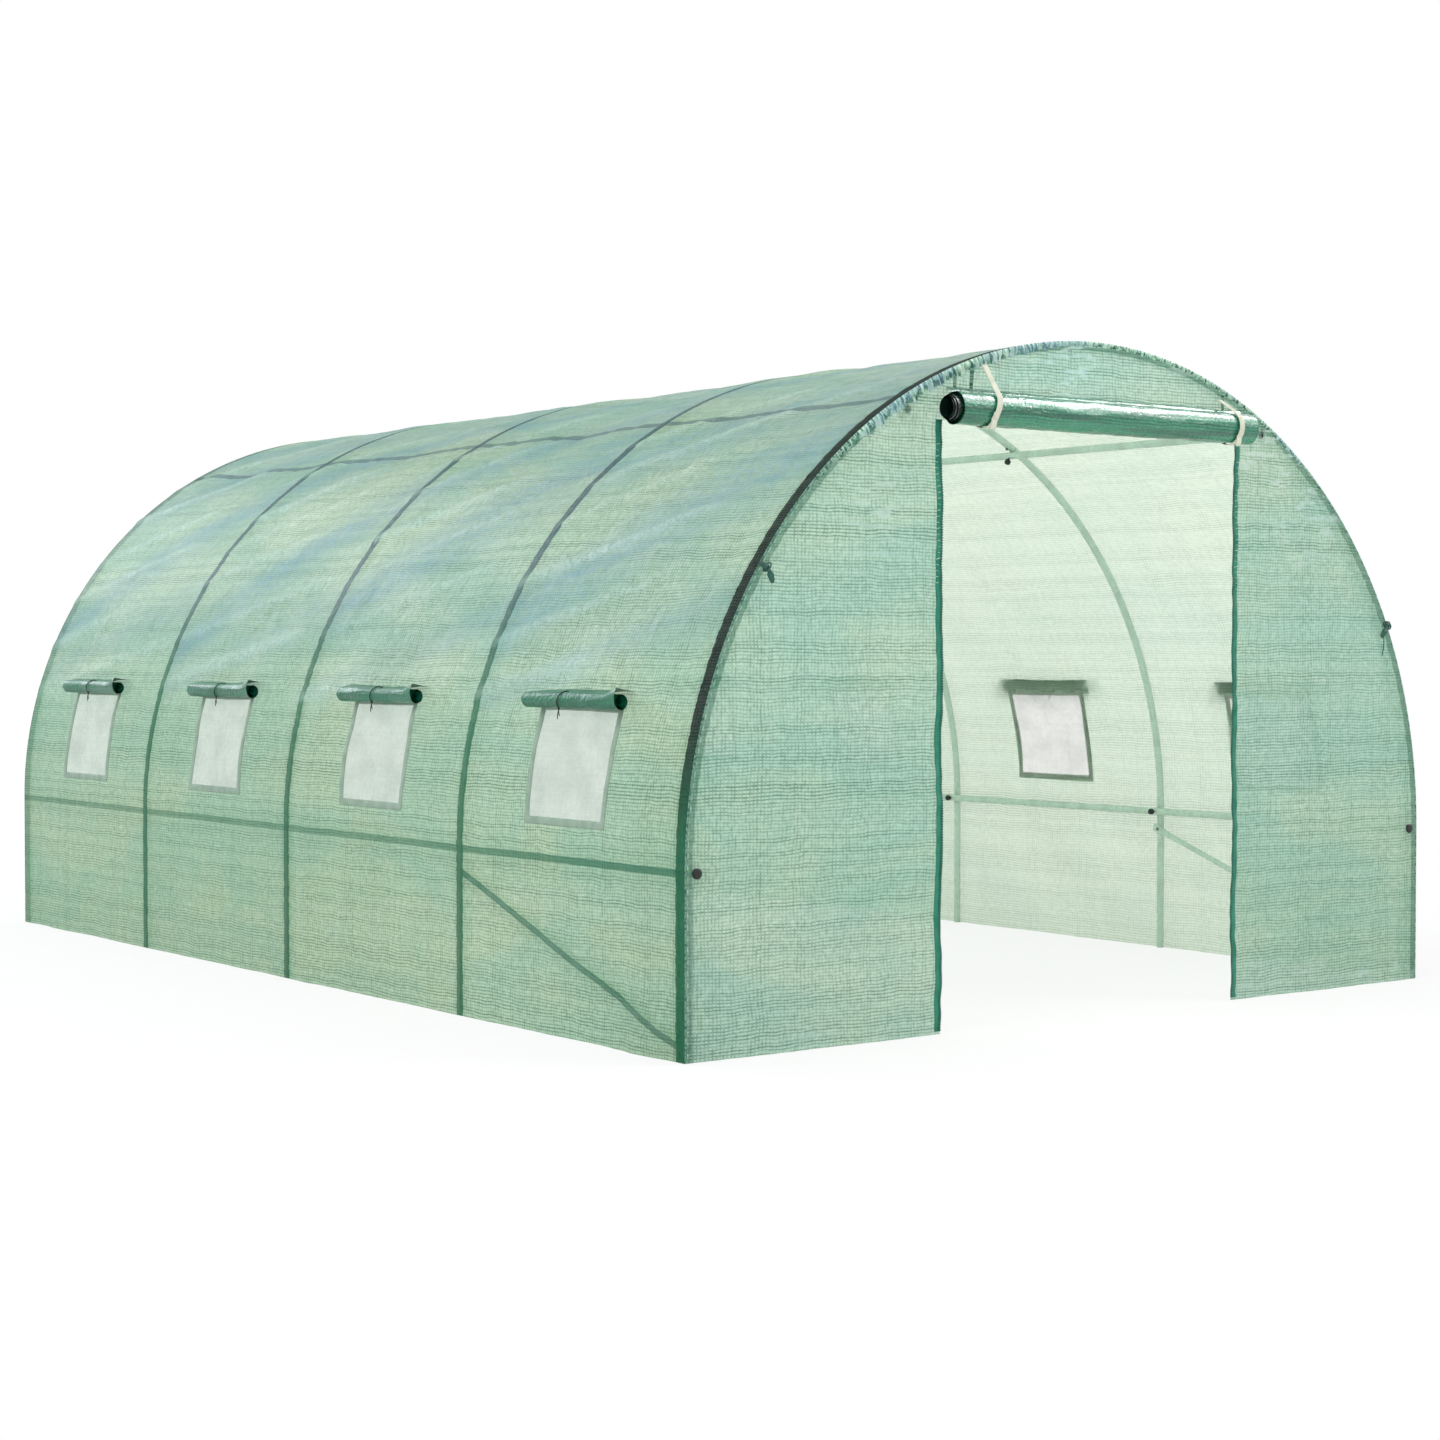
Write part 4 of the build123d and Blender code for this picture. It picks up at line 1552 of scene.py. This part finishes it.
class Cover(bpy.types.Operator):
    """Stretches the one long film over the hoops, with its window openings"""

    bl_idname = "polytunnel.cover"
    bl_label = "Cover"

    def execute(self, context):
        s = sizes()
        low, high = window_runs()
        stops = [FRONT_Y]
        for hoop, bay in zip(HOOP_Y, BAY_Y):
            stops += [hoop, bay - WINDOW_HALF, bay + WINDOW_HALF]
        stops += [HOOP_Y[-1], BACK_Y]
        ys = lines_through(stops, s.mesh_step)
        left = [0.0, SPRING_Z, low, high, COVER_RUN / 2]
        runs = lines_through(left + [COVER_RUN - r for r in left[-2::-1]], s.mesh_step)
        run, y = np.meshgrid(runs, ys, indexing="ij")
        flat = cover_points(run, y).reshape(-1, 3)
        _, _, nx, nz = arch(run)
        outward = np.stack([nx, 0 * nx, nz], -1).reshape(-1, 3)
        faces = grid_faces(len(runs), len(ys))
        mid_run = run.reshape(-1)[faces].mean(1)
        mid_run = np.minimum(mid_run, COVER_RUN - mid_run)
        mid_y = y.reshape(-1)[faces].mean(1)
        off_bay = np.abs(mid_y[:, None] - np.array(BAY_Y)).min(1)
        opening = (mid_run > low) & (mid_run < high) & (off_bay < WINDOW_HALF)
        faces = turned_out(flat, faces[~opening], outward)
        used, faces = np.unique(faces, return_inverse=True)
        uvs = np.stack([y, run], -1).reshape(-1, 2)
        made = piece("cover_film", flat[used], faces.reshape(-1, 4), side_film(), uvs[used])
        # Attributes for the cover's painted light and shade: stand_off fades the painted tube shadows,
        # sheen places the painted sky reflection and creases the painted crease highlights
        shares = {
            "stand_off": cover_lift(run, y),
            "sheen": cover_sheen(run, y),
            "creases": crease_rise(run, y).clip(0, 1),
        }
        for label, values in shares.items():
            values = values.reshape(-1)[used].astype(np.float32)
            made.data.attributes.new(label, "FLOAT", "POINT").data.foreach_set("value", values)
        bands = ("skirt", "window_band", "shoulder_band", "roof_band")
        kept(made, "cover_film", *(f"{side}_{band}" for side, _ in SIDES for band in bands))
        return {"FINISHED"}


class EndFilms(bpy.types.Operator):
    """Hangs the front film with its doorway and the plain back film"""

    bl_idname = "polytunnel.end_films"
    bl_label = "End films"

    def execute(self, context):
        front = end_sheet("front_film", FRONT_Y, -1, FRONT_SEED, True)
        kept(front, "cover_film", "left_front_panel", "right_front_panel", "front_top_panel")
        back = end_sheet("back_film", BACK_Y, 1, BACK_SEED, False)
        kept(back, "cover_film", "back_panel")
        return {"FINISHED"}


class Seams(bpy.types.Operator):
    """Gathers the seams along both arches and sews them"""

    bl_idname = "polytunnel.seams"
    bl_label = "Seams and stitches"

    def execute(self, context):
        run = np.arange(0.02, COVER_RUN - 0.02, STITCH_PITCH)
        x, z, nx, nz = arch(run, COVER_R - 0.007)
        along = np.stack([nz, 0 * nx, -nx], -1)
        for name, y, way, seed in (("front_seam", FRONT_Y, -1, 41), ("back_seam", BACK_Y, 1, 51)):
            made, area = gathered_seam(name, y, way, seed)
            kept(made, "cover_film")
            places = np.stack([x, 0 * x + y + way * 0.0045, z], -1)
            sewn = scattered(
                f"{name}_stitches", places, (0.0, way, 0.0), along, stitch(), pale_thread(),
                0.8, 1.15, 0.12,
            )
            kept(sewn, "cover_film")
        for name, x in PANEL_SEAM_X.items():
            self.panel_seam(name, x)
        return {"FINISHED"}

    def panel_seam(self, name, x):
        """A short gathered seam that runs up from the roll to the arch."""
        width = sizes().panel_seam
        z = np.arange(ROLL.z + 0.055, arch_top(x) - 0.012, 0.003)
        gx, gz = np.meshgrid(x + np.linspace(-0.5, 0.5, 5) * width, z)
        fold = np.sin(2 * math.pi * gz / 0.013 + 2 * x)
        crown = np.cos(math.pi * (gx - x) / width)
        points = on_front(gx, gz, 0.0008 + 0.0014 * crown * (1 + fold))
        # Panel seams take little of the seam's painted light
        finish = seam_finish("panel_seam", 0.15)
        made = kept(grid_piece(name, points, FRONT, finish, np.stack([gz, gx], -1)), "cover_film")


class Zips(bpy.types.Operator):
    """Sews the zips to both edges of the doorway"""

    bl_idname = "polytunnel.zips"
    bl_label = "Door zips"

    def execute(self, context):
        for side, way in SIDES:
            low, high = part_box(f"{side}_door_zip")
            self.tape(side, way, low.z, high.z)
            z = np.arange(low.z + 0.004, high.z - 0.003, TOOTH_PITCH)
            places = on_front(np.full_like(z, way * (DOOR_HALF + 0.004)), z, 0.0024)
            teeth = scattered(
                f"{side}_zip_teeth", places, FRONT, (-way, 0.0, 0.0), self.tooth(), zip_plastic()
            )
            kept(teeth, "zip_tape")
            z = np.arange(1.28, 1.68, 0.017)
            x = way * (DOOR_HALF + sizes().zip_width - 0.006 + 0.003 * np.sin(40 * z))
            sewn = scattered(
                f"{side}_zip_stitches", on_front(x, z, 0.0026), FRONT, ACROSS, stitch(), pale_thread(),
                0.6, 1.1, 0.3,
            )
            kept(sewn, "zip_tape")
        return {"FINISHED"}

    def tape(self, side, way, low, high):
        """The zip's tape, from the floor to the roll."""
        c, width = colours(), sizes().zip_width
        finish = woven_tape("zip_tape", c.zip_tape, c.zip_teeth, 0.004)
        x = np.linspace(DOOR_HALF, DOOR_HALF + width, 7) * way
        gx, gz = np.meshgrid(x, np.linspace(low, high, 110))
        points = on_front(gx, gz, 0.0012 + 0.0006 * waves(gz, gx, 6, 0.03, 0.2, 61 + way))
        made = grid_piece(f"{side}_zip_tape", points, FRONT, finish, np.stack([gx, gz], -1))
        solid_film(made, 0.0012)
        kept(made, "zip_tape", f"{side}_door_zip")

    def tooth(self):
        levels = ((-0.0010, 1.0), (0.0008, 1.0), (0.0014, 0.75))
        rings = [[(x * share, y * share, z) for x, y in TOOTH] for z, share in levels]
        return shell("tooth", [loft(rings)], plug_plastic(), smooth=False)


class DoorRoll(bpy.types.Operator):
    """Winds the door film into the roll above the doorway"""

    bl_idname = "polytunnel.door_roll"
    bl_label = "Door roll"

    def execute(self, context):
        c = colours()
        low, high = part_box("door_roll")
        angle, radius = (part[:, None] for part in spiral(7.1, 0.026, ROLL_R - 0.0012, 40))
        share = np.linspace(0, 1, len(angle))[:, None]
        core = 1 - smooth_step(radius, 0.036, 0.041)
        left = low.x + 0.010 - (0.024 * core + 0.004 * np.sin(9 * share)) + 0.006 * share
        right = high.x - 0.008 + 0.010 * core + 0.003 * np.sin(7 * share)
        x = left + (right - left) * np.linspace(0, 1, 60)
        loose = smooth_step(share, 0.75, 1.0)
        fine = waves(x, 6 * share * np.ones_like(x), 12, 0.05, 0.35, 71)
        broad = waves(x, 0.35 * angle * np.ones_like(x), 10, 0.1, 0.6, 72)
        lumps = loose * (0.0011 * fine + 0.0008 * broad)
        squeeze = sum(bell((x - tape_x) / 0.02) for _, tape_x, _ in TAPES.values())
        r = radius + np.minimum(lumps, 0.0012) - 0.0022 * loose * squeeze
        points = np.stack([x, ROLL.y + r * np.cos(angle), ROLL.z + r * np.sin(angle)], -1)
        edge_x, edge_y, edge_z = points[-1].T
        tail = []
        for k in np.linspace(0, 1, 7)[1:]:
            y = edge_y * (1 - k) + (FRONT_Y - 0.0028) * k
            z = edge_z + 0.018 * k + 0.006 * math.sin(math.pi * k)
            tail.append(np.stack([edge_x, y, z], -1))
        points = np.concatenate([points, np.array(tail)])
        # The first 0.85 m of wound film, deep in the roll, is painted near-black as shade
        finish = rolled_finish("rolled_film", c.roll, c.roll_shade, 0.16, 0.85)
        made, wound = wound_film("rolled_door_film", points, 0, (0, ROLL.y, ROLL.z), finish)
        kept(made, "rolled_film", "door_roll")
        return {"FINISHED"}


class DoorTies(bpy.types.Operator):
    """Ties the cream tapes round the roll"""

    bl_idname = "polytunnel.door_ties"
    bl_label = "Roll tapes"

    def execute(self, context):
        width = sizes().tape_width
        reach = ROLL_R + 0.0016
        for name, (top_x, low_x, top_z) in TAPES.items():
            start = np.array([FRONT_Y - 0.006, top_z])
            to_roll = np.array([ROLL.y, ROLL.z]) - start
            lean = math.atan2(to_roll[1], to_roll[0])
            touch = lean % (2 * math.pi) - math.pi + math.acos(reach / np.linalg.norm(to_roll))
            around = self.round_roll(reach, touch, math.radians(345), 46)
            straight = start + (around[0] - start) * np.linspace(0, 1, 14)[:-1, None]
            line = np.concatenate([straight, around])
            xs = np.interp(np.linspace(0, 1, len(line)), [0, 0.45, 1], [top_x, low_x, low_x])
            kept(self.ribbon(name, line, xs, width), "cream_tape", "door_ties")
            over = self.round_roll(reach + 0.002, math.radians(192), math.radians(214), 8)
            bulge = 0.003 * np.sin(np.linspace(0, 3.1, 8)[1:, None]) * np.array([-1.0, 0])
            drop = over[-1] + np.linspace(0, 1, 8)[1:, None] * np.array([-0.004, -0.030]) + bulge
            line = np.concatenate([over, drop])
            xs = low_x - 0.004 - 0.014 * np.linspace(0, 1, len(line)) ** 2
            kept(self.ribbon(f"{name}_tail", line, xs, width * 0.95), "cream_tape")
        return {"FINISHED"}

    def round_roll(self, reach, start, end, count):
        """Points (y, z) round the roll."""
        turn = np.linspace(start, end, count)
        return np.stack([ROLL.y + reach * np.cos(turn), ROLL.z + reach * np.sin(turn)], -1)

    def ribbon(self, name, line, xs, width):
        """A flat tape along a line of (y, z), with its middle at the places across."""
        cream = colours().cream
        finish = woven_tape("cream_tape", cream, darker(cream, 0.72), 0.0032)
        across = np.linspace(-0.5, 0.5, 5)
        y, z = line.T
        points = np.array(
            [np.stack([xs + a * width, y + 0.0008 * math.cos(3 * a), z], -1) for a in across]
        )
        along = np.concatenate([[0], np.cumsum(np.linalg.norm(np.diff(line, axis=0), axis=1))])
        uvs = np.stack(np.meshgrid(along, across * width), -1)
        outward = np.stack([0 * xs, y - ROLL.y, z - ROLL.z], -1)
        made = solid_film(grid_piece(name, points, outward, finish, uvs), sizes().tape_thickness)
        return made


class Windows(bpy.types.Operator):
    """Sets the nets, bindings and rolled flaps of the side windows"""

    bl_idname = "polytunnel.windows"
    bl_label = "Windows"

    def execute(self, context):
        for side, way in SIDES:
            for i, bay in enumerate(BAY_Y):
                self.net(f"{side}_net_{i + 1}", side, -way, bay)
                self.flap(f"{side}_flap_{i + 1}", side, -way, bay, i)
            self.bindings(side, -way)
            self.ties(side, -way)
        return {"FINISHED"}

    def patch(self, run, y, mirror, out):
        """Points on the left of the cover and their outward directions, mirrored by -1."""
        points = cover_points(run, y, out)
        points[..., 0] *= mirror
        _, _, nx, nz = arch(run)
        return points, np.stack([nx * mirror, 0 * nx, nz], -1)

    def net(self, name, side, mirror, bay):
        low, high = window_runs()
        half = WINDOW_HALF + NET_LAP
        run, y = np.meshgrid(
            np.linspace(low - NET_LAP, high + NET_LAP, 22), np.linspace(bay - half, bay + half, 24),
            indexing="ij",
        )
        up = np.sin(math.pi * (run - low) / (high - low)).clip(0)
        along = np.sin(math.pi * (y - bay + WINDOW_HALF) / (2 * WINDOW_HALF)).clip(0)
        points, outward = self.patch(run, y, mirror, -0.0012 - 0.004 * up * along)
        made = grid_piece(name, points, outward, net_finish(), np.stack([y, run], -1))
        kept(made, "window_net", f"{side}_window_nets")

    def bindings(self, side, mirror):
        """Rounded strips round the four openings of a side."""
        shade, width = colours().binding, sizes().binding_width
        low, high = window_runs()
        half = np.array([(high - low) / 2, WINDOW_HALF])
        shares, lifts = (np.array(part) for part in zip(*BINDING))
        steps = np.linspace(0, 1, 18)[:-1, None]
        parts = []
        for bay in BAY_Y:
            front, back = bay - WINDOW_HALF, bay + WINDOW_HALF
            corners = np.array([(low, front), (low, back), (high, back), (high, front)])
            after = np.roll(corners, -1, axis=0)
            edge = np.concatenate([a + (b - a) * steps for a, b in zip(corners, after)])
            centre = np.array([(low + high) / 2, bay])
            grown = centre + (edge - centre) * (half + shares[:, None, None] * width) / half
            points, outward = self.patch(grown[..., 0], grown[..., 1], mirror, lifts[:, None])
            points, outward = points.reshape(-1, 3), outward.reshape(-1, 3)
            faces = turned_out(points, grid_faces(*grown.shape[:2], closed=True), outward)
            parts.append((points, faces, grown[..., ::-1].reshape(-1, 2)))
        points, faces, uvs = joined(parts)
        finish = woven_tape("edge_binding", shade, darker(shade, 0.6), 0.003)
        made = solid_film(piece(f"{side}_bindings", points, faces, finish, uvs), 0.0008)
        kept(made, "edge_binding", f"{side}_window_bindings")

    def flap(self, name, side, mirror, bay, index):
        """A flap rolled up over its window, with the loose edge that joins it to the cover."""
        shade = colours().flap
        angle, radius = (part[:, None] for part in spiral(3.6, 0.0115, FLAP_R - 0.0008, 30))
        share = np.linspace(0, 1, len(angle))[:, None]
        across = np.linspace(0, 1, 26)[None, :]
        draw = np.random.default_rng(80 + index + (10 if side == "right" else 0))
        front = bay - FLAP_HALF + 0.004 + 0.010 * (1 - share) * draw.random()
        back = bay + FLAP_HALF - 0.004 - 0.012 * (1 - share) * draw.random()
        y = front + (back - front) * across
        lumps = 0.0006 * waves(y, 3 * share * np.ones_like(y), 8, 0.06, 0.3, 90 + index)
        r = radius + smooth_step(share, 0.6, 1.0) * lumps
        corner = smooth_step(share, 0.93, 1.0) * smooth_step(1 - across, 0.86, 1.0)
        x = (FLAP.x - r * np.cos(angle) - 0.004 * corner) * mirror
        points = np.stack([x, y, FLAP.z + r * np.sin(angle) + 0.018 * corner], -1)
        edge = points[-1]
        seat = cover_points(np.full(len(edge), run_at(FLAP.z + 0.030)), edge[:, 1], 0.0012)
        seat[:, 0] *= mirror
        tail = [edge * (1 - k) + seat * k for k in np.linspace(0, 1, 5)[1:]]
        points = np.concatenate([points, np.array(tail)])
        finish = rolled_finish("flap_film", shade, darker(shade, 0.6), 0.3)
        made, wound = wound_film(name, points, 1, (FLAP.x * mirror, 0, FLAP.z), finish)
        kept(made, "rolled_film", f"{side}_window_flaps")

    def ties(self, side, mirror):
        """Thin black tie with its tails round every flap."""
        out, up = np.array([-mirror, 0, 0]), np.array(UP)
        t = np.linspace(0, 1, 8)[:, None]
        parts = []
        for index, bay in enumerate(BAY_Y):
            y = bay + (0.05 if index == 0 else 0.02 - 0.004 * index)
            centre = np.array([FLAP.x * mirror, y, FLAP.z])
            path = ring_path(
                centre, out, up, FLAP_R + 0.0012, 30, math.radians(-60), math.radians(150)
            )
            path[:, 1] += np.linspace(0.004, -0.022, len(path))
            parts.append(round_skin(path, 0.0016))
            for lean, drop in ((0.004, 0.030), (-0.006, 0.022)):
                hang = path[0] + t * np.array([0, lean, -drop]) + np.sin(t * 2.4) * out * 0.004
                parts.append(round_skin(hang, 0.0014))
            knot = [path[0] + out * 0.002 + np.array([0, d, 0]) for d in (-0.004, -0.002, 0.002, 0.004)]
            parts.append(round_skin(knot, (0.0012, 0.0032, 0.0032, 0.0012)))
        kept(shell(f"{side}_flap_ties", parts, black_tie()), "black_plug")


class Knots(bpy.types.Operator):
    """Ties the end film to the front hoop with its two bunched knots"""

    bl_idname = "polytunnel.knots"
    bl_label = "Hoop knots"

    def execute(self, context):
        shade = colours().seam_dark
        finish = rolled_finish("knot_film", shade, darker(shade, 0.5), 0.4)
        front = np.array(FRONT)
        steps = np.linspace(0, 1, 40)
        thickness = np.interp(steps, *zip(*KNOT_THICKNESS)) * (1 + 0.16 * np.sin(22 * steps))
        for name, (way, height, tail) in KNOTS.items():
            turn = math.asin((height - SPRING_Z) / COVER_R)
            inward = -np.array([way * math.cos(turn), 0, math.sin(turn)])
            along = np.array([-way * math.sin(turn), 0, math.cos(turn)])
            at = np.array([0, FRONT_Y - 0.006, SPRING_Z]) - inward * (COVER_R - 0.006)
            path = np.array([at + inward * a + front * b - along * c for a, b, c in KNOT_PATH])
            corners = np.linspace(0, 1, len(path))
            line = np.stack([np.interp(steps, corners, part) for part in path.T], -1)
            ring = ring_path(at + inward * 0.012 + front * 0.012, along, front, 0.014, 22)
            parts = [round_skin(line, thickness, 12), round_skin(ring[:-1], 0.0022)]
            if tail:
                t = np.linspace(0, 1, 14)[:, None]
                hang = path[3] + t * np.array([-way * 0.012, -0.004, -tail]) + np.sin(3 * t) * front * 0.004
                parts.append(round_skin(hang, 0.0018))
            kept(shell(name, parts, finish, uv_size=0.05), "cover_film")
        return {"FINISHED"}


class PolytunnelPanel(bpy.types.Panel):
    """Lists the pieces of the polytunnel"""

    bl_idname = "VIEW3D_PT_polytunnel"
    bl_label = "Polytunnel"
    bl_space_type = "VIEW_3D"
    bl_region_type = "UI"
    bl_category = "Polytunnel"

    def draw(self, context):
        for step in STEPS:
            self.layout.operator(step.bl_idname, text=step.bl_label)
        for group in (context.scene.tunnel_sizes, context.scene.tunnel_colours):
            box = self.layout.box()
            for key in group.__annotations__:
                box.prop(group, key)


STEPS = (
    Stage, Hoops, Rails, Braces, Fasteners, Cover, EndFilms, Seams, Zips, DoorRoll,
    DoorTies, Windows, Knots,
)
CLASSES = (TunnelSizes, TunnelColours, *STEPS, PolytunnelPanel)


def register():
    for made in CLASSES:
        bpy.utils.register_class(made)
    bpy.types.Scene.tunnel_sizes = bpy.props.PointerProperty(type=TunnelSizes)
    bpy.types.Scene.tunnel_colours = bpy.props.PointerProperty(type=TunnelColours)


def unregister():
    del bpy.types.Scene.tunnel_colours
    del bpy.types.Scene.tunnel_sizes
    for made in reversed(CLASSES):
        bpy.utils.unregister_class(made)


def main():
    register()
    for step in STEPS:
        family, call = step.bl_idname.split(".")
        getattr(getattr(bpy.ops, family), call)()


if __name__ == "__main__":
    main()
